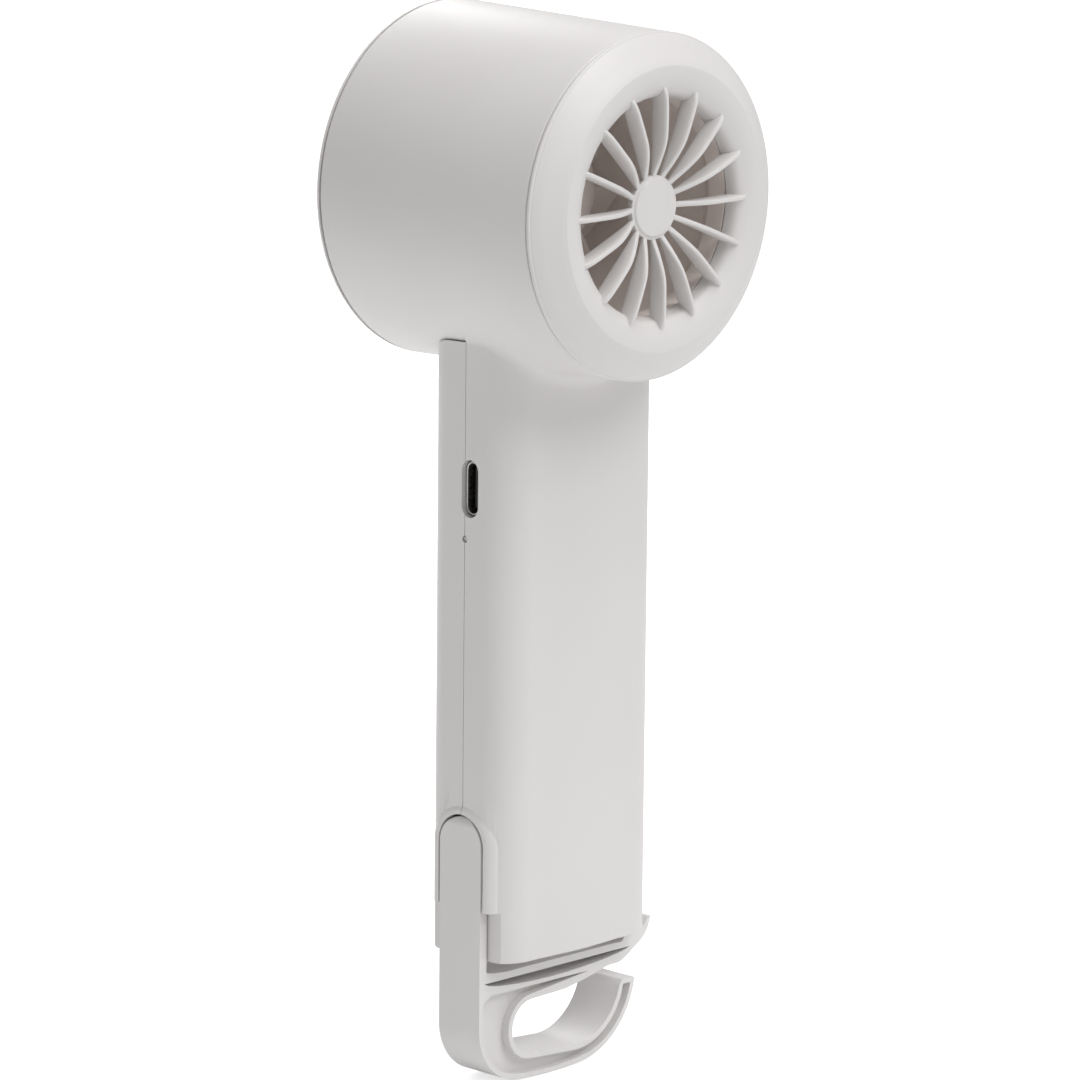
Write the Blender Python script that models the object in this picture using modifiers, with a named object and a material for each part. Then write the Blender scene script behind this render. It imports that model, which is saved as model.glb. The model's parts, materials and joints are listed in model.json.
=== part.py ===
"""Handheld fan with a round ducted head, a flat handle and a carabiner clip at its foot.

Metres, +Z up. The front (where the air leaves) faces -Y and the intake faces +Y.
The origin is on the ground under the middle of the head, at the clip's lowest point.
"""
import math

import bmesh
import bpy
from mathutils import Matrix

MM = 0.001

# Clearances
GAP = 0.3 * MM             # between pieces that touch
RUNNING_GAP = 0.4 * MM     # beside pieces that turn or slide
OVERLAP = 0.5 * MM         # how far joined shapes run into each other
THROUGH = 2.0 * MM         # how far a cutter runs past what it cuts

# Head: the barrel is a slightly tapered tube along Y
HEAD_CENTRE_Z = 146.7 * MM
BARREL_FRONT_RADIUS = 29.3 * MM
BARREL_REAR_RADIUS = 28.1 * MM
BARREL_LENGTH = 44.8 * MM
BARREL_WALL = 1.7 * MM
ROUND_STEPS = 48

# Grilles that close both ends of the barrel
BEZEL_HEIGHT = 4.3 * MM
BEZEL_CREST_SHARE = 0.811      # crest radius as a share of the barrel's end radius
BEZEL_WALL = 1.6 * MM
SPIGOT_LENGTH = 3.5 * MM
SPIGOT_WALL = 1.2 * MM
THROAT_RADIUS = 17.6 * MM
THROAT_DEPTHS = {"+Y": 3.4 * MM, "-Y": 1.0 * MM}     # behind each end of the barrel
BEZEL_FOOT = 0.9 * MM
VANE_COUNT = 16
VANE_THICKNESS = 0.9 * MM
GRILLE_HUB_RADIUS = 5.2 * MM
GRILLE_DISC_RADIUS = 4.7 * MM
GRILLE_HUB_HEIGHT = 1.5 * MM
GRILLE_DISC_HEIGHT = 0.4 * MM

# Inner duct and motor
DUCT_RADIUS = 19.5 * MM
DUCT_WALL = 1.2 * MM
FLANGE = 1.2 * MM
BRACKET_DEPTH = 8.8 * MM
NACELLE_RADIUS = 11.2 * MM
NACELLE_WALL = 1.2 * MM
STATOR_VANES = 7
IMPELLER_BLADES = 9
IMPELLER_HUB_LENGTH = 13.0 * MM
IMPELLER_WALL = 1.4 * MM
HUB_CLEARANCE = 1.1 * MM   # between the bracket and the impeller
IMPELLER_CHORD = 11.0 * MM
BLADE_THICKNESS = 1.0 * MM
BLADE_LEANS = (42, 60)     # degrees from the axis, at the root and at the tip
STATOR_CHORD = 6.0 * MM
STATOR_LEAN = -24
SHAFT_RADIUS = 1.0 * MM
BEARING_RADIUS = 2.5 * MM
BEARING_LENGTH = 2.5 * MM
ROTOR_WALL = 0.8 * MM
MAGNET_WALL = 1.2 * MM
CORE_TEETH = 6
BRACKET_SCREWS = 3
BRACKET_RIM = 3.0 * MM     # how far the bracket's rim reaches past the sleeve
BRACKET_SCREW_LENGTH = 3.4 * MM
LEAD_WINDOW = (4.4 * MM, 2.2 * MM)     # across X and along Y

# Handle: a rounded rectangle with slightly crowned faces, split along the plane Y = 0
HANDLE_WIDTH = 36.5 * MM
HANDLE_DEPTH = 19.5 * MM
HANDLE_CORNER = 6.0 * MM
HANDLE_CROWN = 0.6 * MM
HANDLE_BOTTOM_Z = 21.9 * MM
HANDLE_WALL = 1.8 * MM
NECK_WALL = 2.4 * MM

# Charging socket, lamp and power button
USB_Z = 100.2 * MM
USB_Y = 1.1 * MM
USB_HEIGHT = 8.9 * MM
USB_DEPTH = 3.1 * MM
USB_LENGTH = 7.0 * MM
USB_SETBACK = 0.7 * MM
USB_WALL = 0.35 * MM
USB_TONGUE_THICKNESS = 0.7 * MM
LED_Z = 91.8 * MM
LED_HOLE_RADIUS = 0.6 * MM
BUTTON_Z = 102.0 * MM
BUTTON_RADIUS = 5.2 * MM
BUTTON_PROUD = 0.75 * MM
BUTTON_TRAVEL = 0.6 * MM
BUTTON_FLANGE = 1.1 * MM
BUTTON_STEM_RADIUS = 1.6 * MM
SWITCH_SIZE = 5.0 * MM
SWITCH_HEIGHT = 1.4 * MM

# Circuit board and battery
BOARD_SIDE_GAP = 3.45 * MM
BOARD_BOTTOM_Z = 86.5 * MM
BOARD_HEIGHT = 26.6 * MM
BOARD_THICKNESS = 1.0 * MM
BOARD_REAR_Y = -0.9 * MM
BOARD_SCREW_INSET = 3.6 * MM
BOSS_RADIUS = 2.1 * MM
SCREW_HOLE_RADIUS = 1.1 * MM
BOARD_SCREW_LENGTH = 4.8 * MM
HOOK_THICKNESS = 1.4 * MM
HOOK_ROOT = 5.0 * MM       # below the seam, on the front cover's wall
HOOK_TONGUE = 2.4 * MM     # past the seam, behind the rear wall
HOOK_HEIGHT = 4.0 * MM
BATTERY_SIDE_GAP = 0.6 * MM
BATTERY_FRONT_GAP = 4.0 * MM
BATTERY_END_GAP = 1.0 * MM
BATTERY_LEAD_ROOM = 3.6 * MM
BATTERY_PAD = 0.8 * MM
LEAD_RADIUS = 0.55 * MM

# Clip: outlined in the X-Z plane, CLIP_DEPTH thick along Y
CLIP_DEPTH = 9.3 * MM
CLIP_PROUD = 0.5 * MM
ARM_THICKNESS = 1.6 * MM
ARM_TOP_Z = 45.6 * MM
ARCH_GAP = 0.45 * MM       # beside the arm's round end, so that it can swing
PIVOT_INSET = 1.05 * MM
PIN_RADIUS = 0.6 * MM
PIN_SEAT = 1.5 * MM
KNUCKLE_RADIUS = 1.55 * MM
COLLAR_WIDTH = 2.05 * MM
COLLAR_PROUD = 0.4 * MM
CHEEK_BOTTOM_Z = 30.4 * MM
CRADLE_GAP = 2.0 * MM
RIB = 1.2 * MM
FOOT_CORNER = 10.0 * MM
HOOK_RADIUS = 14.2 * MM
HOOK_REACH = 0.3 * MM      # how far the hook's bend stands out past the handle's side
HOOK_WALL = 3.6 * MM
LOOP_FLOOR = 4.3 * MM
LOOP_END_RADIUS = 4.6 * MM
LOOP_END_INSET = 12.4 * MM
BAND_WALL = 0.9 * MM       # beside the shallow band that runs round the loop
BOTTOM_TURN = 7            # degrees that each end of the shallow bottom arc turns through
BOTTOM_LIFT = 0.4 * MM     # raises the foot and the hook above the arc's lowest point
GROOVE_DEPTH = 3.7 * MM
RECESS_DEPTH = 1.6 * MM
CRADLE_DROP = 0.6 * MM     # of the cradle's top, away from the arm
CRADLE_END = 2.4 * MM      # length of the raised end
GROOVE_TOP = 1.8 * MM      # below the cradle's top
GROOVE_HEIGHT = 1.6 * MM
LOWER_RIB = 0.6 * MM
TAB_REACH = 3.9 * MM
TAB_RISE = 2.7 * MM
TAB_THICKNESS = 0.8 * MM

# Values that follow from the sizes above
BARREL_HALF = BARREL_LENGTH / 2
BORE_RADIUS = BARREL_REAR_RADIUS - BARREL_WALL
HALF_WIDTH = HANDLE_WIDTH / 2
HALF_DEPTH = HANDLE_DEPTH / 2
CLIP_HALF = CLIP_DEPTH / 2
ARM_OUTER_X = HALF_WIDTH + CLIP_PROUD
ARM_INNER_X = ARM_OUTER_X - ARM_THICKNESS
RECESS_X = ARM_INNER_X - GAP
PIVOT_X = HALF_WIDTH - PIVOT_INSET
PIVOT_Z = ARM_TOP_Z - CLIP_HALF
PIN_HALF_LENGTH = CLIP_HALF + GAP + PIN_SEAT
SWING_RADIUS = math.hypot(ARM_OUTER_X - PIVOT_X, CLIP_HALF) + GAP
HOOK_X = HOOK_RADIUS - HALF_WIDTH - HOOK_REACH
LOOP_END = (ARM_OUTER_X - LOOP_END_INSET, LOOP_FLOOR + LOOP_END_RADIUS)
CRADLE_TOP_Z = HANDLE_BOTTOM_Z - CRADLE_GAP
INNER_HALF_WIDTH = HALF_WIDTH - HANDLE_WALL
INNER_HALF_DEPTH = HALF_DEPTH - HANDLE_WALL
BACKING_X = PIVOT_X - SWING_RADIUS - GAP - HANDLE_WALL
BOARD_WIDTH = 2 * (INNER_HALF_WIDTH - BOARD_SIDE_GAP)
NECK_Z = HEAD_CENTRE_Z - BARREL_FRONT_RADIUS - NECK_WALL
FLANGE_FRONT_Y = -BARREL_HALF + SPIGOT_LENGTH + GAP
SLEEVE_OUTER = DUCT_RADIUS + DUCT_WALL
BRACKET_RADIUS = DUCT_RADIUS - GAP
HUB_BORE = NACELLE_RADIUS - IMPELLER_WALL
ROTOR_RADIUS = HUB_BORE - GAP
MAGNET_RADIUS = ROTOR_RADIUS - ROTOR_WALL - GAP
CORE_RADIUS = MAGNET_RADIUS - MAGNET_WALL - RUNNING_GAP
BEARING_SEAT = BEARING_RADIUS + GAP
TUBE_RADIUS = BEARING_SEAT + 0.7 * MM
HUB_OPEN_Y = FLANGE_FRONT_Y - GAP + BRACKET_DEPTH + HUB_CLEARANCE
IMPELLER_NOSE_Y = HUB_OPEN_Y + IMPELLER_HUB_LENGTH
BASE_TOP_Y = HUB_OPEN_Y - 2 * GAP
LEAD_Y = HUB_OPEN_Y - 4.2 * MM
ROTOR_TOP_Y = IMPELLER_NOSE_Y - 4.5 * MM


# ---------------------------------------------------------------- helpers

def clear_scene():
    """Remove every object that the file started with."""
    for thing in list(bpy.data.objects):
        bpy.data.objects.remove(thing, do_unlink=True)


def make_collection(name):
    group = bpy.data.collections.new(name)
    bpy.context.scene.collection.children.link(group)
    return group


def make_material(name, colour, roughness, metallic=0.0):
    """A Principled material from a linear colour."""
    material = bpy.data.materials.new(name)
    material.use_nodes = True
    shader = material.node_tree.nodes["Principled BSDF"]
    shader.inputs["Base Color"].default_value = (*colour, 1.0)
    shader.inputs["Roughness"].default_value = roughness
    shader.inputs["Metallic"].default_value = metallic
    return material


def add_object(name, data, location=(0, 0, 0), rotation=(0, 0, 0)):
    thing = bpy.data.objects.new(name, data)
    PARTS.objects.link(thing)
    thing.location = location
    thing.rotation_euler = rotation
    return thing


def smooth(thing, degrees=35):
    thing.data.shade_smooth()
    thing.data.set_sharp_from_angle(angle=math.radians(degrees))


def turn_for(axis):
    """The rotation that points a local +Z along the named axis."""
    quarter = math.pi / 2
    return {"+Y": (-quarter, 0, 0), "-Y": (quarter, 0, 0), "+X": (0, quarter, 0), "+Z": (0, 0, 0)}[axis]


def rod(name, radius, length, centre, axis="+Y", end_radius=None, steps=24):
    """A cylinder or cone about its own centre, end_radius at the end that axis points to."""
    shape = bmesh.new()
    far = radius if end_radius is None else end_radius
    bmesh.ops.create_cone(shape, cap_ends=True, segments=steps, radius1=radius, radius2=far, depth=length)
    mesh = bpy.data.meshes.new(name)
    shape.to_mesh(mesh)
    shape.free()
    thing = add_object(name, mesh, centre, turn_for(axis))
    smooth(thing)
    return thing


def block(name, low, high):
    """A box between two corners."""
    size = [b - a for a, b in zip(low, high)]
    centre = [(a + b) / 2 for a, b in zip(low, high)]
    shape = bmesh.new()
    bmesh.ops.create_cube(shape, size=1.0, matrix=Matrix.Diagonal((*size, 1.0)))
    mesh = bpy.data.meshes.new(name)
    shape.to_mesh(mesh)
    shape.free()
    return add_object(name, mesh, centre)


def turned(name, profile, centre, axis="+Y", closed=True, steps=48):
    """A profile of (radius, height) points, run down its outer side, turned about the axis."""
    mesh = bpy.data.meshes.new(name)
    count = len(profile)
    edges = [(i, i + 1) for i in range(count - 1)]
    if closed:
        edges.append((count - 1, 0))
    mesh.from_pydata([(radius, 0, height) for radius, height in profile], edges, [])
    thing = add_object(name, mesh, centre, turn_for(axis))
    screw = thing.modifiers.new("turn", "SCREW")
    screw.steps = steps
    screw.render_steps = steps
    screw.use_merge_vertices = True
    screw.merge_threshold = 0.01 * MM
    screw.use_smooth_shade = False
    return thing


def curve_to_mesh(thing):
    """Swap a curve object for a welded mesh object of the same shape and place."""
    bpy.context.view_layer.update()
    evaluated = thing.evaluated_get(bpy.context.evaluated_depsgraph_get())
    mesh = bpy.data.meshes.new_from_object(evaluated)
    shape = bmesh.new()
    shape.from_mesh(mesh)
    bmesh.ops.remove_doubles(shape, verts=shape.verts, dist=0.01 * MM)
    bmesh.ops.recalc_face_normals(shape, faces=shape.faces)
    shape.to_mesh(mesh)
    shape.free()
    name = thing.name
    place = thing.matrix_world.copy()
    bpy.data.objects.remove(thing, do_unlink=True)
    solid = add_object(name, mesh)
    solid.name = name
    solid.matrix_world = place
    return solid


def prism(name, outline, low, high, axis="Z"):
    """A flat outline given thickness from low to high along the axis.

    The outline's points are (x, y) for Z, (x, z) for Y and (y, z) for X.
    """
    quarter = math.pi / 2
    turns = {"Z": (0, 0, 0), "Y": (quarter, 0, 0), "X": (quarter, 0, quarter)}
    curve = bpy.data.curves.new(name, "CURVE")
    curve.dimensions = "2D"
    curve.fill_mode = "BOTH"
    curve.extrude = (high - low) / 2
    spline = curve.splines.new("POLY")
    spline.points.add(len(outline) - 1)
    for point, (across, up) in zip(spline.points, outline):
        point.co = (across, up, 0, 1)
    spline.use_cyclic_u = True
    middle = (low + high) / 2
    places = {"Z": (0, 0, middle), "Y": (0, middle, 0), "X": (middle, 0, 0)}
    return curve_to_mesh(add_object(name, curve, places[axis], turns[axis]))


def arc(centre, radius, start, end, steps=8):
    """Points on an arc, its angles in degrees."""
    angles = [math.radians(start + (end - start) * i / steps) for i in range(steps + 1)]
    return [(centre[0] + radius * math.cos(a), centre[1] + radius * math.sin(a)) for a in angles]


def smooth_path(points, steps=3):
    """A Catmull-Rom curve through the points."""
    ends = [points[0]] + list(points) + [points[-1]]
    path = []
    for i in range(1, len(ends) - 2):
        before, start, end, after = ends[i - 1:i + 3]
        for step in range(steps):
            t = step / steps
            path.append(tuple(
                0.5 * (2 * b + (c - a) * t + (2 * a - 5 * b + 4 * c - d) * t ** 2
                       + (3 * b - a - 3 * c + d) * t ** 3)
                for a, b, c, d in zip(before, start, end, after)))
    path.append(tuple(points[-1]))
    return path


def lead(name, points, material):
    """An insulated wire along a smooth path."""
    path = smooth_path(points)
    curve = bpy.data.curves.new(name, "CURVE")
    curve.dimensions = "3D"
    curve.bevel_depth = LEAD_RADIUS
    curve.bevel_resolution = 2
    curve.use_fill_caps = True
    spline = curve.splines.new("POLY")
    spline.points.add(len(path) - 1)
    for point, place in zip(spline.points, path):
        point.co = (*place, 1)
    return finish(add_object(name, curve), material)


def set_aside(thing):
    """Move a cutter or a joined shape out of the parts."""
    if thing.name in PARTS.objects:
        PARTS.objects.unlink(thing)
        CUTTERS.objects.link(thing)
        thing.hide_render = True
        thing.display_type = "WIRE"


def combine(target, other, operation):
    modifier = target.modifiers.new(other.name, "BOOLEAN")
    modifier.operation = operation
    modifier.solver = "EXACT"
    modifier.object = other
    set_aside(other)


def cut(target, *others):
    for other in others:
        combine(target, other, "DIFFERENCE")


def join(target, *others):
    for other in others:
        combine(target, other, "UNION")


def finish(thing, material):
    thing.data.materials.clear()
    thing.data.materials.append(MATERIALS[material])
    return thing


def copies_round(name, source, count, first=0.0):
    """One mesh of equal copies of an object's mesh, turned about its local Z axis."""
    shape = bmesh.new()
    for index in range(count):
        copy = source.data.copy()
        copy.transform(Matrix.Rotation(first + 2 * math.pi * index / count, 4, "Z"))
        shape.from_mesh(copy)
        bpy.data.meshes.remove(copy)
    mesh = bpy.data.meshes.new(name)
    shape.to_mesh(mesh)
    shape.free()
    bpy.data.objects.remove(source, do_unlink=True)
    return mesh


# ---------------------------------------------------------------- handle shells

def handle_half(side, inset, seam):
    """Half of the handle's section, on the side +1 (rear) or -1 (front) of the seam."""
    half_width = HALF_WIDTH - inset
    half_depth = HALF_DEPTH - inset
    corner = max(HANDLE_CORNER - inset, 1.0 * MM)
    reach = half_width - corner
    right = arc((reach, half_depth - corner), corner, 0, 90, 6)
    left = [(-x, y) for x, y in reversed(right)]
    crown = []
    for step in range(1, 8):
        share = 1 - 2 * step / 8
        crown.append((reach * share, half_depth + HANDLE_CROWN * (1 - share ** 2)))
    outline = [(half_width, seam)] + right + crown + left + [(-half_width, seam)]
    return [(x, side * y) for x, y in outline]


def handle_cavity(side):
    """The hollow of one half, narrower beside the clip's recess."""
    floor = HANDLE_BOTTOM_Z + HANDLE_WALL
    hollow = prism(f"cavity_{side}", handle_half(side, HANDLE_WALL, -THROUGH), floor, NECK_Z)
    shelf_z = PIVOT_Z + SWING_RADIUS + HANDLE_WALL
    keep = block(f"recess_backing_{side}", (BACKING_X, -HANDLE_DEPTH, 0),
                 (HANDLE_WIDTH, HANDLE_DEPTH, shelf_z))
    cut(hollow, keep)
    return hollow


def clip_recess():
    """What the clip's arm, knuckle, pin and swing take out of the handle's side."""
    room = CLIP_HALF + GAP
    outline = [(-room, 0), (room, 0)] + arc((0, PIVOT_Z), CLIP_HALF + ARCH_GAP, 0, 180, 16)
    channel = prism("clip_channel", outline, RECESS_X, HALF_WIDTH + THROUGH, "X")
    pivot = (PIVOT_X, PIVOT_Z)
    edge = RECESS_X + GAP / 2
    knuckle_room = KNUCKLE_RADIUS + RUNNING_GAP
    swing = [(edge, PIVOT_Z + SWING_RADIUS)] + arc(pivot, SWING_RADIUS, 96, 186, 10)
    swing += arc(pivot, knuckle_room, 186, 258, 6) + [(edge, PIVOT_Z - knuckle_room)]
    pocket = prism("swing_pocket", swing, -room, room, "Y")
    pin_hole = rod("pin_hole", PIN_RADIUS + GAP / 2, 2 * (PIN_HALF_LENGTH + GAP / 2),
                   (PIVOT_X, 0, PIVOT_Z), steps=12)
    relief = block("foot_relief", (RECESS_X, -HANDLE_DEPTH, 0), (HANDLE_WIDTH, HANDLE_DEPTH, CHEEK_BOTTOM_Z))
    return [channel, pocket, pin_hole, relief]


def collar(side):
    """Half of the raised rim round the clip's arm, which holds one end of the hinge pin."""
    radius = CLIP_HALF + ARCH_GAP + COLLAR_WIDTH
    seam = GAP / 2
    outline = [(seam, CHEEK_BOTTOM_Z), (radius, CHEEK_BOTTOM_Z)] + arc((0, PIVOT_Z), radius, 0, 88, 8)
    outline.append((seam, PIVOT_Z + radius))
    points = [(side * y, z) for y, z in outline]
    return prism(f"collar_{side}", points, PIVOT_X - KNUCKLE_RADIUS, HALF_WIDTH + COLLAR_PROUD, "X")


def stadium(centre, width, height, steps=6):
    """A slot outline in the Y-Z plane with round ends at its top and bottom."""
    radius = width / 2
    reach = height / 2 - radius
    top = arc((centre[0], centre[1] + reach), radius, 0, 180, steps)
    bottom = arc((centre[0], centre[1] - reach), radius, 180, 360, steps)
    return top + bottom


def side_openings():
    """Charging opening and lamp hole, shared by both shells."""
    slot = stadium((USB_Y, USB_Z), USB_DEPTH + 2 * GAP, USB_HEIGHT + 2 * GAP)
    socket = prism("socket_opening", slot, HALF_WIDTH - 2 * HANDLE_WALL, HALF_WIDTH + THROUGH, "X")
    lamp = rod("lamp_hole", LED_HOLE_RADIUS, 6 * MM, (HALF_WIDTH, 0, LED_Z), "+X", steps=12)
    return [socket, lamp]


def barrel_cone(name, extra, length):
    """The barrel's tapered outside, grown by extra."""
    return rod(name, BARREL_FRONT_RADIUS + extra, length, (0, 0, HEAD_CENTRE_Z), "+Y",
               end_radius=BARREL_REAR_RADIUS + extra, steps=ROUND_STEPS)


def board_screw_places():
    x = -BOARD_WIDTH / 2 + BOARD_SCREW_INSET
    low = BOARD_BOTTOM_Z + BOARD_SCREW_INSET
    high = BOARD_BOTTOM_Z + BOARD_HEIGHT - BOARD_SCREW_INSET
    return [(x, low), (x, high)]


def rear_housing(openings):
    """Barrel and rear half of the handle in one moulding."""
    body = barrel_cone("rear_housing", 0, BARREL_LENGTH)
    grip = prism("rear_grip", handle_half(1, 0, GAP / 2), HANDLE_BOTTOM_Z, NECK_Z + 3 * NECK_WALL)
    join(body, grip, collar(1))
    bore = rod("bore", BORE_RADIUS, BARREL_LENGTH + THROUGH, (0, 0, HEAD_CENTRE_Z), steps=ROUND_STEPS)
    wire_slot = block("wire_slot", (-3 * MM, 1.6 * MM, NECK_Z - THROUGH),
                      (3 * MM, 4.8 * MM, HEAD_CENTRE_Z - BORE_RADIUS + THROUGH))
    cut(body, bore, handle_cavity(1), wire_slot, *openings)
    for index, (x, z) in enumerate(board_screw_places()):
        low = BOARD_REAR_Y + GAP
        high = HALF_DEPTH - HANDLE_WALL + OVERLAP
        boss = rod(f"boss_{index}", BOSS_RADIUS, high - low, (x, (low + high) / 2, z), steps=16)
        depth = 2 * BOARD_SCREW_LENGTH
        hole = rod(f"boss_hole_{index}", SCREW_HOLE_RADIUS, depth, (x, low + GAP, z), steps=12)
        join(body, boss)
        cut(body, hole)
    return finish(body, "white_plastic")


def snap_hook(index, side, z):
    """A tongue on the front cover that reaches behind the rear half's wall."""
    inner = INNER_HALF_WIDTH
    rail = [(side * (inner - HOOK_THICKNESS), -HOOK_ROOT), (side * (inner + OVERLAP), -HOOK_ROOT),
            (side * (inner + OVERLAP), -GAP), (side * (inner - GAP), -GAP),
            (side * (inner - GAP), HOOK_TONGUE), (side * (inner - HOOK_THICKNESS), HOOK_TONGUE)]
    return prism(f"snap_hook_{index}", rail, z - HOOK_HEIGHT / 2, z + HOOK_HEIGHT / 2)


def front_cover(openings):
    """Front half of the handle, which ends against the underside of the barrel."""
    cover = prism("front_cover", handle_half(-1, 0, GAP / 2), HANDLE_BOTTOM_Z,
                  HEAD_CENTRE_Z - BORE_RADIUS / 2)
    hole = rod("button_hole", BUTTON_RADIUS + GAP, HANDLE_DEPTH, (0, -HANDLE_DEPTH / 2, BUTTON_Z), steps=32)
    join(cover, collar(-1))
    cut(cover, barrel_cone("barrel_clearance", GAP, BARREL_LENGTH), handle_cavity(-1), hole, *openings)
    top = BOARD_BOTTOM_Z + BOARD_HEIGHT - THROUGH
    middle = (PIVOT_Z + SWING_RADIUS + BOARD_BOTTOM_Z) / 2
    for index, (side, z) in enumerate(((1, middle), (-1, middle), (1, top), (-1, top))):
        join(cover, snap_hook(index, side, z))
    return finish(cover, "white_plastic")


# ---------------------------------------------------------------- head

def bezel_profile(end_radius, throat_depth):
    """Section of a grille ring as (radius, height above the barrel's end)."""
    crest = end_radius * BEZEL_CREST_SHARE
    spigot = BORE_RADIUS - GAP
    top = BEZEL_HEIGHT
    mouth = crest - THROAT_RADIUS
    return [
        (crest, top),
        (crest + 0.55 * (end_radius - crest), top * 0.8),
        (end_radius - 0.9 * MM, top * 0.36),
        (end_radius, GAP),
        (spigot, GAP),
        (spigot, -SPIGOT_LENGTH),
        (spigot - SPIGOT_WALL, -SPIGOT_LENGTH),
        (spigot - SPIGOT_WALL, 0.6 * MM),
        (crest, top - BEZEL_WALL),
        (THROAT_RADIUS + 0.55 * mouth, top - 1.3 * BEZEL_WALL),
        (THROAT_RADIUS + BEZEL_WALL, BEZEL_FOOT),
        (THROAT_RADIUS + 0.9 * BEZEL_WALL, -throat_depth),
        (THROAT_RADIUS, -throat_depth),
        (THROAT_RADIUS, BEZEL_FOOT),
        (THROAT_RADIUS + 0.12 * mouth, top - 1.7 * MM),
        (THROAT_RADIUS + 0.42 * mouth, top - 0.4 * MM),
        (THROAT_RADIUS + 0.72 * mouth, top - 0.05 * MM),
    ]


def vane_outline(crest):
    """One radial vane as (radius, height): low at the hub, arched, ending inside the ring."""
    mouth = crest - THROAT_RADIUS
    foot = BEZEL_FOOT
    return [
        (GRILLE_HUB_RADIUS - 1.2 * MM, foot),
        (THROAT_RADIUS + 0.8 * MM, foot),
        (THROAT_RADIUS + 1.5 * MM, foot + 1.4 * MM),
        (THROAT_RADIUS + 0.45 * mouth, BEZEL_HEIGHT - 0.9 * MM),
        (THROAT_RADIUS + 0.2 * mouth, BEZEL_HEIGHT - 0.2 * MM),
        (THROAT_RADIUS * 0.8, BEZEL_HEIGHT - 0.1 * MM),
        (THROAT_RADIUS * 0.62, BEZEL_HEIGHT - 0.4 * MM),
        (THROAT_RADIUS * 0.45, BEZEL_HEIGHT - 1.3 * MM),
        (GRILLE_HUB_RADIUS, GRILLE_HUB_HEIGHT - 0.05 * MM),
        (GRILLE_HUB_RADIUS - 1.2 * MM, GRILLE_HUB_HEIGHT - 0.2 * MM),
    ]


def grille(name, axis, end_radius):
    """Bezel ring, vanes and hub of one end of the head."""
    side = 1 if axis == "+Y" else -1
    place = (0, side * BARREL_HALF, HEAD_CENTRE_Z)
    ring = turned(name, bezel_profile(end_radius, THROAT_DEPTHS[axis]), place, axis, steps=ROUND_STEPS)
    crest = end_radius * BEZEL_CREST_SHARE
    half = VANE_THICKNESS / 2
    single = prism(f"{name}_vane", vane_outline(crest), -half, half, "Y")
    single.data.transform(single.matrix_world)
    copies = copies_round(f"{name}_vanes", single, VANE_COUNT)
    vanes = add_object(f"{name}_vanes", copies, place, turn_for(axis))
    hub = turned(f"{name}_hub", [
        (0, GRILLE_HUB_HEIGHT + GRILLE_DISC_HEIGHT),
        (GRILLE_DISC_RADIUS - 0.3 * MM, GRILLE_HUB_HEIGHT + GRILLE_DISC_HEIGHT),
        (GRILLE_DISC_RADIUS, GRILLE_HUB_HEIGHT + 0.1 * MM),
        (GRILLE_HUB_RADIUS - 0.3 * MM, GRILLE_HUB_HEIGHT),
        (GRILLE_HUB_RADIUS, GRILLE_HUB_HEIGHT - 0.3 * MM),
        (GRILLE_HUB_RADIUS, 0.3 * MM),
        (0, 0.3 * MM),
    ], place, axis, closed=False, steps=32)
    join(ring, vanes, hub)
    return finish(ring, "white_plastic")


def lead_window():
    """The passage of the motor leads through the duct, the bracket and the nacelle."""
    half_x, half_y = LEAD_WINDOW[0] / 2, LEAD_WINDOW[1] / 2
    return block("lead_window", (-half_x, LEAD_Y - half_y, HEAD_CENTRE_Z - BORE_RADIUS),
                 (half_x, LEAD_Y + half_y, HEAD_CENTRE_Z - NACELLE_RADIUS + 2 * NACELLE_WALL))


def bracket_screw_places():
    """Centres of the bracket's screws in the X-Z plane."""
    radius = (SLEEVE_OUTER + BORE_RADIUS - 2 * SPIGOT_WALL) / 2 - GAP
    angles = [math.radians(90 + 360 * i / BRACKET_SCREWS) for i in range(BRACKET_SCREWS)]
    return [(radius * math.cos(a), HEAD_CENTRE_Z + radius * math.sin(a)) for a in angles]


def screw_holes(name, radius, y):
    return [rod(f"{name}_{i}", radius, 8 * MM, (x, y, z), steps=12)
            for i, (x, z) in enumerate(bracket_screw_places())]


def inner_duct(window):
    """Sleeve that carries the air, held in the barrel by a flange at each end."""
    rim = BORE_RADIUS - GAP
    rear = BARREL_HALF - SPIGOT_LENGTH - 0.7 * MM
    front = FLANGE_FRONT_Y
    duct = turned("inner_duct", [
        (rim, rear), (rim, rear - FLANGE), (SLEEVE_OUTER, rear - FLANGE),
        (SLEEVE_OUTER, front + FLANGE), (rim, front + FLANGE), (rim, front),
        (DUCT_RADIUS, front), (DUCT_RADIUS, rear),
    ], (0, 0, HEAD_CENTRE_Z))
    cut(duct, window, *screw_holes("duct_hole", 1.0 * MM, front))
    return finish(duct, "grey_plastic")


def blade_ring(name, count, inner, outer, middle_y, chord, leans, thickness, first):
    """Thin blades between two radii, leaning by an angle that changes from root to tip."""
    shape = bmesh.new()
    bmesh.ops.create_grid(shape, x_segments=3, y_segments=2, size=0.5)
    for vertex in shape.verts:
        along = vertex.co.x + 0.5
        across = vertex.co.y
        radius = inner + (outer - inner) * along
        lean = math.radians(leans[0] + (leans[1] - leans[0]) * along)
        swing = across * chord * math.sin(lean) / radius
        height = across * chord * math.cos(lean)
        vertex.co = (radius * math.cos(swing), radius * math.sin(swing), height)
    mesh = bpy.data.meshes.new(name)
    shape.to_mesh(mesh)
    shape.free()
    single = add_object(f"{name}_single", mesh)
    copies = copies_round(name, single, count, first)
    blades = add_object(name, copies, (0, middle_y, HEAD_CENTRE_Z), turn_for("+Y"))
    wall = blades.modifiers.new("wall", "SOLIDIFY")
    wall.thickness = thickness
    wall.offset = 0
    return blades


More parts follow.
